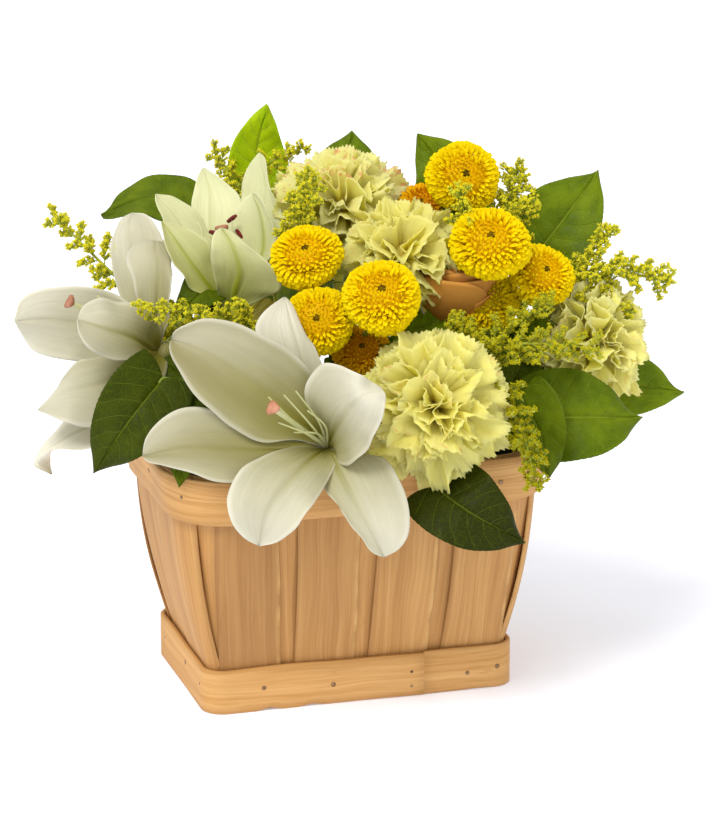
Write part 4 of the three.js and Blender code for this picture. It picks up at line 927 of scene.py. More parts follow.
def lily_petal(form, throat, data, seed, bud):
    shade, wide, cup, outside, face, line, *rims = data
    dice = np.random.default_rng(seed)
    uu, vv = lattice(52, 33, 0.0, 0.996)
    u, v, off = uu[0], vv[:, 0], np.abs(uu)
    middle = along([throat, *line], v)
    side, up = bearings(unit(np.gradient(middle, axis=0)), face)
    half = (wide / 2 * petal_breadth(v) * (1 - abs(cup) * 0.4))[:, None]
    lift = (wide * cup * np.sin(math.pi * np.minimum(1, v + 0.12)))[:, None]
    plus, minus = middle + side * half + up * lift, middle - side * half + up * lift
    for edge, rim in zip((plus, minus), rims):
        edge[:, :2] = along([throat[:2], *rim, line[-1][:2]], v)
    e, f = (plus - minus) / 2, (plus + minus) / 2 - middle
    p = middle[:, None] + u[None, :, None] * e[:, None] + (u**2)[None, :, None] * f[:, None]
    ends = np.sin(math.pi * np.clip(vv, 0, 1)) ** 0.5
    ripple = sum(
        high * np.sin(vv * often * math.pi + dice.uniform(0, 6) + (uu > 0) * 1.7)
        for high, often in ((0.9, 5.0), (0.45, 9.5))
    )
    groove = -0.9 * ridge(uu, 0.07) * (1 - 0.5 * vv) + 0.35 * ridge(off - 0.16, 0.07) * (1 - vv)
    ribs = 0.10 * np.cos(uu * 16 * math.pi * (1 - 0.25 * vv)) * (1 - 0.6 * vv)
    p = p + normals(p) * (off**3 * ends * ripple + groove + ribs)[..., None]
    # deeper towards the throat: partly the petals' own green, partly painted shade in the throat
    near = np.clip(1 - vv / 0.85, 0, 1) ** (1.6 if bud else 1.25)
    rib = ridge(uu, 0.10) * (1 - 0.5 * vv)
    # a painted bright rim: near the edges the painted shade fades, and the green too, as the edge is paler
    painted_bright_rim = 0.75 * np.clip((off - 0.88) / 0.12, 0, 1)
    green = 0.02 + (0.72 if bud else 1.15) * near * (1 - 0.3 * off**2) + (0.0 if outside else 0.2) * rib
    if outside:
        wander = uu - 0.03 * np.sin(vv * 5 + seed)
        green = green + outside * (0.42 * ridge(wander, 0.09) + 0.16 * ridge(wander, 0.45) + 0.26 * (1 - vv))
    elif bud:
        green = green + 0.08 * (1 - 0.5 * vv)
    # painted shade over the whole petal, varying a little across it and lifted at the rim
    shade = shade * (0.85 + 0.15 * np.cos(3 * uu + 2 * vv + seed))
    tone = tones(np.clip(green * (1 - 0.6 * painted_bright_rim), 0, 1), shade * (1 - 0.7 * painted_bright_rim))
    sheet(form, CENTRE + p @ AXES, 0.9 - 0.5 * np.maximum(off**2, vv**3), marks(uu, vv, dice), tone)


for index, lily in enumerate(LILIES):
    name, bud = lily["name"], lily.get("bud", False)
    start, throat = np.asarray(lily["throat"], float), shown(lily["throat"])
    down = unit(facing(lily["away"]))
    stalk = Form()
    stem(stalk, [throat + down * 5.5, throat + down * 17], STEM["lily"], seed=0.3 * index)
    stalk.build(f"{name}_stalk", [f"{name}_stem"], ["stem"], "stem")
    bloom = Form()
    for k, data in enumerate(lily["petals"]):
        lily_petal(bloom, lily["throat"], data, SEEDS["lily"] + 100 * index + k, bud)
    turned(bloom, LILY_FOOT, throat, -down, 20, tone=(0.9, 0, 0), seed=0.4)
    neck, tip = (shown(q) for q in lily["pistil"])
    tube(bloom, [throat, neck, tip], lambda t: 1.15 + 0.35 * t, 10, 24, slot=1)
    turned(bloom, STIGMA, tip, unit(tip - neck), 24, slot=2, lobes=(3, 0.17))
    for k, end in enumerate(lily["filaments"]):
        sway = np.array([4.0, -5.0 + 1.6 * k, 4.0]) * (0.5 if bud else 1)
        bend = start + (np.asarray(end, float) - start) * 0.55 + sway
        tube(bloom, [throat, shown(bend), shown(end)], lambda t: 0.75 - 0.35 * t, 7, 20, slot=1)
        if bud:
            turned(bloom, ANTHER, shown(end), facing((0.7, 0.5 - 0.7 * k, 0.2)), 10, slot=3)
    skins = ["lily_bud" if bud else "lily", "filament", "stigma", "anther"]
    bloom.build(f"{name}_bloom", [f"{name}_petals"], skins, "lily_petal")

# ---------------------------------------------------------------- carnations

CARNATIONS = {
    "front": {"centre": (53, 25, 79), "axis": (0.15, -0.1, 1), "radius": 37.5, "pink": 0.35, "dome": 0.2},
    "middle": {
        "centre": (37, 108, 26), "axis": (0.15, 0.75, 0.65), "open": (0.1, 0.55, 0.8),
        "radius": 28, "pink": 0.2,
    },
    "top": {
        "centre": (3, 137, -12), "axis": (-0.1, 0.95, 0.35), "open": (-0.05, 0.7, 0.7),
        "radius": 34, "pink": 1.0, "dome": 0.3, "skin": "carnation_pale",
    },
    "right": {
        "centre": (140, 60, 0), "axis": (0.95, 0.05, 0.35), "open": (0.82, 0.05, 0.57),
        "radius": 31, "pink": 0.4, "skin": "carnation_pale",
    },
    "back": {"centre": (-28, 100, -96), "axis": (-0.1, 0.5, -0.85), "radius": 33, "pink": 0.4},
}

# Each ring of petals: how many, how far they lean from the head's axis, and how long they are.
FRILLS = [
    (7, 103, 1.0), (8, 92, 1.02), (8, 79, 1.0), (8, 65, 0.97),
    (8, 51, 0.93), (7, 38, 0.88), (6, 25, 0.83), (5, 12, 0.78),
]
CALYX, DOME = 25, 0.44  # how deep a carnation's calyx is, and how high its head rises
CARNATION_CORE = [[0.0, -0.3], [5.6, 0.0], [6.5, 4.0], [5.5, 9.0], [3.0, 13.0], [0.0, 14.0]]


def frill(form, place, axes, radius, around, lean, long, dice, pink):
    """A ruffled petal with a fringed rim. axes are the head's own."""
    cols = 49
    uu, ss = lattice(15, cols, 0.12)
    u, ss = uu[0], ss**0.9
    radial, tangent = spoke(*axes[:2], around)
    lean = math.radians(lean)
    way, down = spoke(axes[2], radial, lean)
    twist = dice.uniform(-1, 1) * (0.2 + 0.75 * max(0.0, math.cos(lean)))
    side = math.cos(twist) * tangent - math.sin(twist) * down
    face = np.cross(way, side)
    fan = math.radians(dice.uniform(34, 46)) * (0.8 if lean < 0.9 else 1.0)
    spread = uu * fan * (0.5 + 0.5 * ss)
    fringe = 0.028 * dice.uniform(0.3, 1, cols) * np.where(np.arange(cols) % 2 == 0, 1.0, -1.0)
    lobe = 0.06 * np.cos(u * dice.uniform(3, 6) + dice.uniform(0, 6))
    lobe = lobe + 0.035 * np.cos(u * dice.uniform(9, 13))
    rim = 1 - 0.2 * np.abs(u) ** 2.5 + fringe + lobe
    reach = radius * long * ss * (1 + (rim - 1) * ss**4)
    phase, waves = dice.uniform(0, 6), dice.uniform(1.4, 2.6)
    ruffle = 0.12 * np.sin(waves * math.pi * uu + phase) * ss**1.6
    ruffle = ruffle + 0.05 * np.sin(9.5 * uu + 2 * phase) * ss**4
    ruffle = radius * ruffle + radius * 0.016 * np.sin(27 * uu + 3 * phase) * ss**6
    curl = radius * (dice.uniform(-0.1, 0.16) + 0.24 * math.sin(min(2 * lean, math.pi))) * ss**2.4
    fold = radius * dice.uniform(0.02, 0.2) * (np.abs(uu) ** 1.6) * ss
    p = place + reach[..., None] * (np.cos(spread)[..., None] * way + np.sin(spread)[..., None] * side)
    p = laid(p, (ruffle + fold - curl, face))
    grain = marks(uu * 0.9, ss, dice)
    # deeper towards the base, the petal's own colour, and more on the inner petals: painted shade in the
    # heart
    inner = np.clip(math.cos(lean), 0, 1) ** 2
    deep = np.clip(1.0 - ss * 1.5, 0, 1) ** 1.1 + 0.16 * inner * (1 - 0.6 * ss)
    spots = np.clip((ss - 0.72) / 0.28, 0, 1) * (pink if dice.uniform() < 0.12 + pink * 0.3 else 0.0)
    sheet(form, p, 0.3, grain, tones(np.clip(deep, 0, 1), spots))


for index, (name, data) in enumerate(CARNATIONS.items()):
    name, radius = f"carnation_{name}", data["radius"]
    dice = np.random.default_rng(SEEDS["carnation"] + index)
    n = unit(facing(data["axis"]))
    centre, mouth = shown(data["centre"]), -radius * 0.28
    foot = mouth - CALYX
    stalk = Form()
    base = centre + n * (foot + 3)
    stem(stalk, [base, base - n * 9], STEM["carnation"], seed=0.1 * index)
    calyx = [
        [0.0, foot], [2.6, foot + 0.6], [3.4, foot + 3], [5.6, foot + 8], [6.3, foot + 15],
        [6.6, mouth - 2], [6.9, mouth], [0.0, mouth + 0.2],
    ]
    turned(stalk, calyx, centre, n, 20, seed=0.2)
    stalk.build(f"{name}_stalk", [f"{name}_stem"], ["stem"], "stem")
    bloom = Form()
    origin = centre + n * mouth
    axes = basis(facing(data.get("open", data["axis"])))
    for ring, (count, lean, long) in enumerate(FRILLS):
        reach = radius * (1.0 + data.get("dome", DOME) * max(0.0, math.cos(math.radians(lean))))
        for k in range(count):
            around = (k + 0.5 * (ring % 2)) * 2 * math.pi / count + ring * 0.7 + dice.uniform(-0.2, 0.2)
            slant, size = lean + dice.uniform(-9, 9), long * dice.uniform(0.93, 1.03)
            frill(bloom, origin, axes, reach, around, slant, size, dice, data["pink"])
    turned(bloom, CARNATION_CORE, origin, axes[2], 16, tone=(0.7, 0, 0), seed=0.5)
    bloom.build(f"{name}_head", [f"{name}_bloom"], [data.get("skin", "carnation")], "carnation_petal")

# ---------------------------------------------------------------- rose

ROSE = {"centre": (62, 82, 18), "axis": (0.1, 0.8, 0.6), "open": (0.14, 0.95, 0.28), "radius": 24}

# Each ring of petals: how many, how far out they start, how high they stand, how wide they fan and
# how far their rims roll.
ROSE_RINGS = [
    (3, 1.0, 1.5, 1.35, 0.08), (3, 0.95, 1.62, 1.3, 0.08), (4, 0.84, 1.7, 1.15, 0.07),
    (4, 0.72, 1.74, 1.1, 0.05), (3, 0.6, 1.76, 1.2, 0.04), (3, 0.46, 1.76, 1.3, 0.03),
    (3, 0.34, 1.74, 1.3, 0.02), (2, 0.24, 1.7, 1.6, 0.0), (2, 0.14, 1.64, 1.6, 0.0),
]
ROSE_CORE = [[0.0, 0.0], [5.0, 0.2], [7.0, 3.0], [5.0, 14.0], [2.0, 24.0], [0.0, 25.0]]


def cupped(form, place, axes, radius, around, start, tall, fan, dice, roll):
    """A rose petal: part of a cup about the axis, its rim rolled out."""
    e1, e2, n = axes
    uu, ss = lattice(16, 17, 0.02)
    u = uu[0]
    t = ss * (1 - 0.32 * np.abs(u) ** 2.6 + 0.03 * np.cos(u * 4 + around))
    belly = radius * (np.sin(np.minimum(t, 1) * math.pi * 0.5) ** 0.75) * start
    out = belly + radius * roll * np.clip(t - 0.72, 0, 1) ** 1.5 * 5
    high = radius * (tall * t - roll * 1.2 * np.clip(t - 0.82, 0, 1) ** 2 * 6)
    angle = around + uu * fan * (0.5 + 0.5 * np.sin(np.minimum(1, ss * 1.2) * math.pi / 2))
    out = out * (1 + 0.03 * np.sin(uu * 6 + around * 3) * ss**3)
    ways = np.cos(angle)[..., None] * e1 + np.sin(angle)[..., None] * e2
    p = laid(place + out[..., None] * ways, (high, n))
    # painted shade, deepest at the petal's base
    grain, tone = marks(uu, ss, dice), tones(np.clip(0.9 - 1.1 * ss, 0, 1))
    sheet(form, p[:, ::-1], 0.5, grain[:, ::-1], tone[:, ::-1])


dice = np.random.default_rng(SEEDS["rose"])
n = unit(facing(ROSE["axis"]))
centre, radius = shown(ROSE["centre"]), ROSE["radius"]
stalk = Form()
base = centre - n * (radius * 0.37 + FIT)
stem(stalk, [base, base - n * 12], STEM["rose"])
stalk.build("rose_stalk", ["rose_stem"], ["stem"], "stem")
bloom = Form()
axes = basis(facing(ROSE["open"]))
low = centre - axes[2] * radius * 0.8
for ring, (count, start, tall, fan, roll) in enumerate(ROSE_RINGS):
    for k in range(count):
        around = (k + 0.5 * ring) * 2 * math.pi / count + dice.uniform(-0.15, 0.15)
        out, high = start * dice.uniform(0.97, 1.03), tall * dice.uniform(0.96, 1.03)
        cupped(bloom, low, axes, radius, around, out, high, fan, dice, roll)
# the core, all in the painted shade colour
turned(bloom, ROSE_CORE, low, axes[2], 14, tone=(1, 0, 0))
bloom.build("rose_head", ["rose_bloom"], ["rose"], "rose_petal")

# ---------------------------------------------------------------- button chrysanthemums

# Each head: its name, its centre, its axis and its radius.
MUM_SPRAYS = [
    {"name": "centre", "fork": (0, 50, 22), "sprigs": [((26, 58, 30), (1, 0.45, 0.1))], "heads": [
        ("mum_1", (-14, 104, 50), (-0.1, 0.58, 0.8), 19),
        ("mum_2", (25, 82, 76), (0.0, 0.5, 0.87), 20.5),
        ("mum_3", (-8, 70, 61), (-0.1, 0.2, 1), 18.5),
        ("mum_4", (15, 55, 41), (0, 0.4, 0.9), 15),
    ]},
    {"name": "upper", "fork": (52, 96, -18), "heads": [
        ("mum_5", (69, 148, 10), (0.2, 0.2, 0.97), 19.5),
        ("mum_6", (48, 133, -10), (-0.2, 0.6, 0.8), 15),
    ]},
    {"name": "right", "fork": (78, 54, 4), "sprigs": [
        ((84, 54, 8), (0.9, -0.3, 0.3)), ((92, 66, 0), (0.8, 0.15, 0.1)), ((88, 44, 20), (0.5, -0.8, 0.3)),
    ], "heads": [
        ("mum_7", (82, 111, 44), (0.05, 0.5, 0.86), 21),
        ("mum_8", (110, 95, 25), (0.35, 0.45, 0.82), 18),
        ("mum_9", (80, 82, 24), (-0.1, 0.3, 0.95), 18),
    ]},
    {"name": "back", "fork": (52, 78, -46), "heads": [
        ("mum_10", (38, 112, -84), (0, 0.6, -0.8), 19),
        ("mum_11", (76, 94, -90), (0.3, 0.4, -0.9), 18),
    ]},
]
# mum_4 and mum_6 wear the florets' colours with painted shade
MUM_SKINS = {"mum_4": "mum_painted_shade", "mum_6": "mum_painted_shade", "mum_9": "mum_green"}
MUM_EYE, MUM_EYES = 0.05, {"mum_3": 0.09}  # how wide a head's young middle is
SPRAY_LEAVES = 10
MUM_FLAT, MUM_UNDER = 0.66, 0.42
MUM_LUMPS = ((2, 0.035), (3, 0.03), (5, 0.02))  # how many lumps go round a head, and how deep
MUM_BODY = [
    [0.0, -MUM_UNDER], [0.34, -0.36], [0.6, -0.2], [0.74, 0.1], [0.64, 0.46], [0.36, 0.64], [0.0, 0.6],
]
MUM_PIT = [[0.0, 0.4], [0.1, 0.42], [0.11, 0.64], [0.05, 0.7], [0.0, 0.69]]
MUM_CALYX = [[0.0, -0.46], [0.30, -0.44], [0.58, -0.26], [0.60, -0.16], [0.0, -0.1]]


def mum_head(form, centre, axis, radius, dice, eye):
    """A dome of short ray florets, spread evenly from its middle to its underside."""
    e1, e2, n = basis(axis)
    radius = radius * 0.95
    count = int(430 * (radius / 18) ** 1.3)
    bumps = dice.uniform(0, 6, 3)
    uu, ss = np.meshgrid([-1.0, -0.5, 0.0, 0.5, 1.0], [0.0, 0.3, 0.58, 0.8, 0.93, 1.0])
    breadth = np.array([0.5, 0.8, 1.0, 1.0, 0.75, 0.3])[:, None]
    for k in range(count):
        share = (k + 0.5) / count
        theta = math.radians(6 + 116 * share**0.72)
        phi = k * GOLDEN + dice.uniform(-0.06, 0.06)
        radial, tangent = spoke(e1, e2, phi)
        lumps = sum(deep * math.sin(often * phi + b) for (often, deep), b in zip(MUM_LUMPS, bumps))
        surface = radius * (1 + share * lumps) * (math.sin(theta) * radial + MUM_FLAT * math.cos(theta) * n)
        normal = unit(math.sin(theta) * radial + math.cos(theta) / MUM_FLAT * n)
        outward = unit(math.cos(theta) * radial - math.sin(theta) * n)
        tilt = -0.5 + 1.4 * share**0.5 + dice.uniform(-0.2, 0.2)
        way = unit(normal * math.cos(tilt) + outward * math.sin(tilt))
        long = radius * (0.19 + 0.18 * min(1.0, share * 1.6)) * dice.uniform(0.86, 1.1 + 0.12 * share)
        wide = radius * (0.034 + 0.036 * min(1.0, share * 1.5))
        dip = radius * 0.2 * math.exp(-((share / eye) ** 1.2))
        foot = centre + surface - way * long * (0.96 - 0.16 * share * dice.uniform(0, 1)) - normal * dip
        face = unit(np.cross(tangent, way))
        if np.dot(face, normal) < 0:
            face = -face
        curve = long * (dice.uniform(0.10, 0.26) if share > 0.3 else dice.uniform(-0.34, -0.16))
        across, _ = spoke(tangent, face, dice.uniform(-0.25, 0.25))
        p = laid(foot, (ss * long, way), (uu * wide * breadth, across))
        p = laid(p, ((uu**2) * wide * 0.65 * breadth + curve * (ss**2), face))
        grain = marks(uu, ss, dice)
        young = math.exp(-share / (0.6 * eye))
        deep = np.clip(0.85 - 1.25 * ss + 0.3 * young + dice.uniform(-0.08, 0.1), 0, 1)
        sheet(form, p, 0.16, grain, tones(deep, 0.75 * young * (1 if eye > 0.08 else 0.3)))
    size = [radius, radius * MUM_FLAT]
    turned(form, np.multiply(MUM_BODY, size), centre, n, 20, tone=(0.8, 0, 0), seed=0.3)
    turned(form, np.multiply(MUM_PIT, size), centre, n, 12, slot=2)
    turned(form, np.multiply(MUM_CALYX, size), centre, n, 16, slot=1)


for index, spray in enumerate(MUM_SPRAYS):
    fork, heads = shown(spray["fork"]), spray["heads"]
    stalk = Form()
    stem(stalk, [fork], STEM["mum"])
    for _, place, axis, radius in heads:
        centre, direction = shown(place), unit(facing(axis))
        foot = centre - direction * (radius * MUM_FLAT * MUM_UNDER + FIT)
        neck = centre - direction * radius * 0.8
        elbow = neck + (fork - neck) * 0.45 - direction * 5
        tube(stalk, [fork, elbow, neck, foot], STEM["mum"] * 0.8, 8, 20)
    dice = np.random.default_rng(SEEDS["spray"] + index)
    outward = 0.55 if spray["fork"][2] > -30 else -0.55
    for k in range(SPRAY_LEAVES):
        spin = k * SPIRAL + index
        aside = facing((math.cos(spin), 0.55 * math.sin(spin) + 0.2, outward))
        spot = fork + (shown(heads[k % len(heads)][1]) - fork) * (0.05 + 0.035 * k)
        size = dice.uniform(24, 34), dice.uniform(13, 18)
        lobed_leaf(stalk, spot, aside, facing((0, 0.4, 1)), *size, dice)
    for place, way in spray.get("sprigs", ()):
        lobed_leaf(stalk, shown(place), facing(way), facing((0, 0.2, 1)), 36, 26, dice)
    name = f"mum_spray_{spray['name']}"
    stalk.build(f"{name}_stalk", [name], ["stem", "leaf"], "stem")
    for k, (name, place, axis, radius) in enumerate(heads):
        bloom = Form()
        dice = np.random.default_rng(SEEDS["mum"] + 10 * index + k)
        mum_head(bloom, shown(place), facing(axis), radius, dice, MUM_EYES.get(name, MUM_EYE))
        bloom.build(f"{name}_head", [name], [MUM_SKINS.get(name, "mum"), "stem", "mum_eye"], "mum_floret")

# ---------------------------------------------------------------- leaves

# Each leaf: how much painted shade it has and how wide it is, the way it faces, and the line of its
# midrib. heart is how full its base is, fold how far its halves rise, and stalk where its stalk bends.
LEAFY_STEMS = [
    ("left", (-72, 34, 62), [
        (0.8, 42, (0.1, 0.1, 1), [(-88, 40, 74), (-105, 18, 84), (-124, -9, 72)]),
        (0.5, 26, (0.2, 0.3, 1), [(-84, 32, 66), (-77, 26, 74), (-70, 12, 74)]),
        (0.4, 22, (0.1, 0.3, 1), [(-70, 20, 78), (-76, 4, 87.5), (-79, -16, 89.5)]),
        (0.6, 26, (0.1, 0.2, 1), [(-72, 38, 42), (-84, 45, 34), (-98, 54, 26)]),
    ]),
    ("upper_left", (-62, 92, -26), [
        (0.6, 26, (0.1, 0.2, 1), [(-60, 90, 6), (-62, 80, 14), (-65, 66, 18)]),
        (0.3, 34, (0, 0.7, 0.8), [(-72, 132, -34), (-100, 140, -36), (-127, 131, -44)], {"heart": 0.6}),
        (0.45, 24, (0.2, 0.6, 0.8), [(-64, 92, 14), (-72, 84, 30), (-84, 72, 34)]),
    ]),
    ("top", (-2, 110, -72), [
        (0, 34, (0.2, 0.1, 1), [(-40, 140, -62), (-42, 167, -58), (-36, 191, -46)],
         {"heart": 0.7, "skin": 1}),
        (0.05, 42, (0, 0.1, 1), [(8, 138, -76), (8, 158, -80), (10, 180, -84)], {"heart": 0.5}),
    ]),
    ("upper_right", (92, 82, -22), [
        (0, 42, (0.1, 0, 1), [(66, 124, -46), (62, 152, -50), (46, 176, -52)], {"heart": 0.5}),
        (0.1, 50, (-0.2, 0.1, 1), [(106, 104, -16), (126, 130, -16), (143, 154, -22)]),
    ]),
    ("right", (92, 26, 30), [
        (0.6, 30, (0.1, 0.2, 1), [(92, 34, 28), (98, 46, 24), (106, 60, 16)]),
        (0, 44, (0, 0.4, 1), [(128, 40, -20), (160, 38, -22), (190, 34, -30)]),
        (0.22, 52, (0, 0.3, 1), [(104, 20, 34), (134, 20, 42), (163, 20, 30)]),
        (0.4, 36, (-0.4, 0.2, 1), [(98, 30, 50), (108, 10, 58), (112, -12, 56)], {"fold": 0.16}),
    ]),
    ("front", (40, 6, 46), [
        (0.95, 44, (0.1, 0.2, 1), [(52, -16, 70.6), (70, -29, 84), (99, -45, 77)],
         {"stalk": [(46, -4, 68.6)]}),
    ]),
    ("back_left", (-58, 66, -40), [
        (0.25, 42, (-0.2, 0.7, -0.6), [(-80, 66, -68), (-108, 72, -84), (-134, 60, -96)]),
        (0.3, 42, (-0.2, 0.7, -0.6), [(-64, 60, -76), (-76, 58, -104), (-90, 40, -124)]),
    ]),
    ("back_right", (62, 66, -44), [
        (0.25, 44, (0.2, 0.7, -0.6), [(84, 50, -78), (112, 58, -84), (142, 44, -86)]),
        (0.3, 44, (0, 0.7, -0.7), [(38, 46, -94), (22, 48, -120), (4, 30, -138)]),
    ]),
]


def leaf_breadth(v, heart):
    """How broad a leaf is along its midrib. heart is how full its base is."""
    start = 0.17 * heart
    reach = start + (1 - start) * np.clip(v, 0, 1)
    point = 1 - 0.4 * np.clip((v - 0.8) / 0.2, 0, 1) ** 1.5
    return np.sin(math.pi * reach ** (0.64 + 0.08 * heart)) ** 0.8 * point


def leaf(form, painted_shade, wide, face, line, seed, fold=0.1, heart=1.0, skin=0):
    dice = np.random.default_rng(seed)
    uu, vv = lattice(72, 37, 0.0, 0.997)
    off = np.abs(uu)
    middle = along(line, vv[:, 0])
    forward = unit(np.gradient(middle, axis=0))
    side, up = bearings(forward, face)
    saw = 0.014 * np.abs(np.sin(vv * 46 * math.pi)) * (off > 0.99)
    half = wide / 2 * (leaf_breadth(vv, heart) * (1 + saw) + 0.02 * (1 - heart))
    lobes = -0.2 * heart * wide * off * (1.7 - off) * np.clip(1 - vv / 0.4, 0, 1) ** 2
    lift = wide * fold * (off**1.15) * np.sin(math.pi * np.minimum(1, vv + 0.12))
    sag = -wide * 0.05 * (uu**2) * vv
    ripple = 1.0 * off * np.sin(vv * 9 + (uu <= 0) * 2) + 0.5 * uu**2 * np.sin(vv * 21 + seed)
    lane = (vv - VEIN_RISE * off**1.25) * LATERALS + (uu > 0) * 0.5
    near = np.abs(lane - np.floor(lane) - 0.5)
    quilt = 0.5 * np.clip(near / 0.5, 0, 1) ** 0.7 * np.clip(1 - off, 0, 1) ** 0.4 * np.clip(off / 0.12, 0, 1)
    height = lift + sag + ripple + quilt - 0.7 * ridge(uu, 0.05)
    p = laid(middle[:, None], (uu * half, side[:, None]), (height, up[:, None]), (lobes, forward[:, None]))
    tone = tones(np.zeros_like(uu), painted_shade)
    sheet(form, CENTRE + p @ AXES, 0.55 - 0.25 * off, marks(uu, vv, dice), tone, skin)


for index, (name, spot, leaves) in enumerate(LEAFY_STEMS):
    form = Form()
    name, fork = f"leafy_stem_{name}", shown(spot)
    stem(form, [fork], STEM["leaf"], slot=2)
    for k, (painted_shade, wide, face, line, *more) in enumerate(leaves):
        more = dict(*more)
        stalk = [shown(q) for q in more.pop("stalk", ())]
        leaf(form, painted_shade, wide, face, line, SEEDS["leaf"] + 40 * index + k, **more)
        root, beyond = (shown(q) for q in line[:2])
        places = [fork, *stalk, root, root + (beyond - root) * 0.12]
        tube(form, places, lambda t: 1.15 - 0.35 * t, 8, 16, slot=2)
    form.build(f"{name}_foliage", [name], ["leaf", "leaf_bright", "stem"], "leaf")

# ---------------------------------------------------------------- goldenrod

# Each plant: the line of its stem, how many twigs it has and how far they reach. low is the share
# of its length where they start, size is its florets' size, and painted_shade their painted shade.
GOLDENROD = [
    {"name": "left", "places": [(-48, 44, 2), (-99, 80, -12), (-153, 131, -22)],
     "twigs": 38, "reach": 25, "low": 0.32, "size": 1.2},
    {"name": "upper_left", "places": [(-34, 96, -34), (-48, 138, -48), (-66, 167, -56)],
     "twigs": 26, "reach": 19,
     "branches": [[(-50, 144, -50), (-34, 160, -46), (-16, 168, -44)]]},
    {"name": "top", "places": [(-12, 88, 18), (-18, 122, 28), (-13, 148, 26)],
     "twigs": 34, "reach": 19},
    {"name": "front_left", "places": [(-38, 58, 34), (-60, 72, 52), (-102, 77, 66)],
     "twigs": 30, "reach": 16,
     "branches": [[(-42, 60, 42), (-46, 70, 54), (-48, 78, 60)]]},
    {"name": "upper_right", "places": [(76, 96, -6), (90, 126, -10), (99, 154, -18)],
     "twigs": 34, "reach": 22,
     "branches": [
        [(74, 106, 28), (70, 122, 38), (66, 140, 38)], [(88, 116, 2), (98, 128, 14), (106, 134, 16)],
     ]},
    {"name": "right", "places": [(104, 72, 4), (136, 98, 6), (180, 93, -4)],
     "twigs": 38, "reach": 21,
     "branches": [
        [(122, 88, 5), (138, 108, 3), (148, 121, -3)], [(120, 84, 8), (140, 84, 11), (158, 76, 6)],
     ]},
    {"name": "front_right", "places": [(70, 50, 40), (96, 58, 54), (138, 56, 48)],
     "twigs": 34, "reach": 21, "low": 0.3, "painted_shade": 0.42,
     "branches": [[(86, 56, 48), (98, 72, 46), (114, 80, 44)], [(84, 52, 50), (72, 62, 58), (62, 70, 62)]]},
    {"name": "low_right", "places": [(72, 34, 50), (94, 20, 72), (105, -17, 78)],
     "twigs": 38, "reach": 18, "low": 0.36, "painted_shade": 0.8},
    {"name": "back", "places": [(-10, 88, -73), (-4, 120, -96), (4, 150, -104)],
     "twigs": 30, "reach": 17},
]
BARE = 0.42  # the share of a stem below its first twig, unless its plant says otherwise
NARROW_LEAVES = 7
RAYS = 7
FLORET_CUP = np.array([[0.0, -1.1], [0.26, -0.9], [0.36, -0.3], [0.30, 0.05], [0.0, 0.1]])
FLORET_TUFT = np.array([[0.0, 0.0], [0.22, 0.05], [0.24, 0.42], [0.0, 0.5]])


def floret(form, place, axis, size, painted_shade, dice):
    """A tiny flower head: a green cup and a burst of narrow rays round a tuft."""
    e1, e2, n = basis(axis)
    turned(form, FLORET_CUP * size, place, n, 6, tone=(0.9, 0, 0), slot=1)
    uu, ss = np.meshgrid([-1.0, 1.0], [0.0, 0.55, 1.0])
    breadth = np.array([0.7, 1.0, 0.45])[:, None]
    # painted shade deepens the rays and dots them with the fleck colour, which is the painted shade colour
    tone = tones(np.clip(0.75 + painted_shade - 0.8 * ss, 0, 1), painted_shade)
    spin = dice.uniform(0, 6)
    for k in range(RAYS):
        radial, tangent = spoke(e1, e2, spin + k * 2 * math.pi / RAYS)
        way, _ = spoke(n, radial, dice.uniform(0.5, 1.15))
        long, wide = size * dice.uniform(0.65, 0.95), size * 0.17
        rise = 0.15 * long * ss**2
        p = laid(place, (ss * long, way), (uu * wide * breadth, tangent), (rise, np.cross(way, tangent)))
        sheet(form, p, size * 0.07, marks(uu, ss, dice), tone)
    turned(form, FLORET_TUFT * size, place, n, 5, tone=(0.25 + painted_shade, painted_shade, 0))


def spun(forward, angle):
    """A way out from what runs forward, turned about it from the level."""
    level = unit(np.cross([0.0, 0.0, 1.0], forward))
    return spoke(level, np.cross(forward, level), angle)[0]


def plume(form, path, low, twigs, reach, size, painted_shade, dice):
    """Short arched twigs all round a stem, from low, a share of its length, to its tip, with
    florets along them."""
    share = np.linspace(0, 1, twigs) ** 0.9
    run = (0.98 - low) * share
    starts = spline(path, low + run)
    ways = spline(path, np.minimum(1, low + 0.02 + run)) - spline(path, np.maximum(0, low - 0.04 + run))
    for k, (start, forward) in enumerate(zip(starts, unit(ways))):
        out = spun(forward, k * SPIRAL + dice.uniform(0, 1))
        long = reach * (1.1 - 0.62 * share[k]) * dice.uniform(0.5, 1.1)
        end = start + out * long * 0.8 + forward * long * 0.62
        mid = start + out * long * 0.45 + forward * long * 0.4 + np.array([0, 0, long * 0.07])
        tube(form, [start, mid, end], lambda t: 0.4 - 0.2 * t, 5, 9, slot=1)
        spots = along([start, mid, end], np.linspace(0.3, 1.0, max(4, int(long / 1.5))))
        axis = unit(end - start)
        e1, e2, _ = basis(axis)
        for j, spot in enumerate(spots):
            for twin in range(2):
                off, _ = spoke(e1, e2, j * SPIRAL + twin * 2.8 + dice.uniform(-0.5, 0.5))
                lean = unit(off * 0.8 + np.array([0, 0, 0.5]) + axis * 0.55)
                head = size * dice.uniform(1.5, 2.35)
                room = dice.uniform(0.8, 2.1) * (0.45 if j + 1 == len(spots) else 1.0)
                floret(form, spot + off * room + axis * dice.uniform(-0.5, 0.5), lean, head, painted_shade, dice)


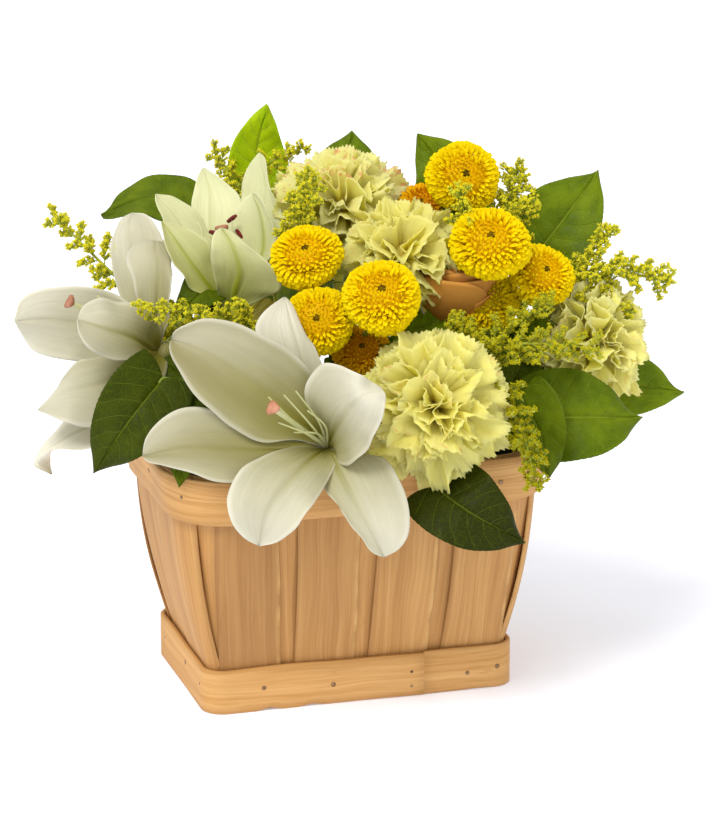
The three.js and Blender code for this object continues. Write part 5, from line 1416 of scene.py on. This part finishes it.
for index, plant in enumerate(GOLDENROD):
    form = Form()
    dice = np.random.default_rng(SEEDS["goldenrod"] + index)
    path = [shown(q) for q in plant["places"]]
    entry, root = rooting(path[0])
    tube(form, [*path[::-1], entry, root], lambda t: 0.5 + 0.85 * np.clip(t * 1.6, 0, 1), 7, 30, slot=1)
    upper = [entry, *path]
    twigs, reach = plant["twigs"], plant["reach"]
    size, painted_shade = plant.get("size", 1.0), plant.get("painted_shade", 0.0)
    plume(form, upper, plant.get("low", BARE), twigs, reach, size, painted_shade, dice)
    for places in plant.get("branches", ()):
        branch = [shown(q) for q in places]
        tube(form, branch, lambda t: 0.6 - 0.25 * t, 6, 12, slot=1)
        plume(form, branch, 0.1, twigs // 2, reach * 0.62, size, painted_shade, dice)
    for k in range(NARROW_LEAVES):
        at = spline(upper, np.array([0.16 + 0.05 * k, 0.2 + 0.05 * k]))
        forward = unit(at[1] - at[0])
        way = spun(forward, k * SPIRAL) * 0.8 + forward * 0.7
        narrow_leaf(form, at[0], way, dice.uniform(16, 26), dice.uniform(3.2, 5), dice, 2)
    name = f"goldenrod_{plant['name']}"
    form.build(f"{name}_plume", [name], ["goldenrod", "twig", "leaf"], "goldenrod")

# ---------------------------------------------------------------- floor, light and camera

FLOOR = 6  # metres from its middle to its edge
floor_mesh = bpy.data.meshes.new("floor")
corners = [(x * FLOOR, y * FLOOR, 0) for x, y in ((-1, -1), (1, -1), (1, 1), (-1, 1))]
floor_mesh.from_pydata(corners, [], [(0, 1, 2, 3)])
floor = bpy.data.objects.new("floor", floor_mesh)
bpy.context.scene.collection.objects.link(floor)
s = Shader("pale_floor")
pale = s.mix(s.noise(s.own_space(), 1.5, detail=1.0), (0.85, 0.87, 0.95), (0.87, 0.89, 0.97))
glow = {"Emission_Color": (0.9, 0.9, 1.0, 1.0), "Emission_Strength": 0.26}
floor.data.materials.append(s.surface(pale, 0.9, **glow))

world = bpy.data.worlds.new("studio")
bpy.context.scene.world = world
world.use_nodes = True
sky = world.node_tree.nodes["Background"]
sky.inputs["Color"].default_value = (1.0, 0.99, 0.965, 1.0)
sky.inputs["Strength"].default_value = 0.8


def lamp(name, kind, place, size, power, color=(1, 1, 1)):
    """A sun, or a round lamp, that points at the arrangement."""
    data = bpy.data.lights.new(name, kind)
    if kind == "SUN":
        data.angle = math.radians(size)
    else:
        data.shape, data.size = "DISK", size
    data.energy, data.color = power, color
    o = bpy.data.objects.new(name, data)
    o.location = place
    o.rotation_mode = "QUATERNION"
    o.rotation_quaternion = (Vector((0, 0, 0.16)) - Vector(place)).to_track_quat("-Z", "Y")
    bpy.context.scene.collection.objects.link(o)


lamp("key", "SUN", (-1.0, -0.85, 2.15), 25, 1.8, (1.0, 0.985, 0.94))
lamp("fill", "AREA", (0.7, -2.0, 0.8), 1.2, 2.0)

PIXELS, TALL = 4116.66, 828  # the lens's reach and the frame's height, in pixels
SENSOR = 36.0
camera_data = bpy.data.cameras.new("camera")
camera = bpy.data.objects.new("camera", camera_data)
bpy.context.scene.collection.objects.link(camera)
forward = unit([0.2611, 0.919, -0.2952])
sideways, upward = bearings(forward, [0, 0, 1])
aim = forward + sideways * 26.33 / PIXELS + upward * 41.32 / PIXELS
camera.location = Vector((-574.4, -2021.8, 769.4)) * MM
camera.rotation_mode = "QUATERNION"
camera.rotation_quaternion = Vector(aim).to_track_quat("-Z", "Y")
camera_data.sensor_width = SENSOR
camera_data.lens = PIXELS / TALL * SENSOR
camera_data.clip_start, camera_data.clip_end = 0.05, 50
bpy.context.scene.camera = camera
bpy.context.scene.view_settings.view_transform = "Standard"
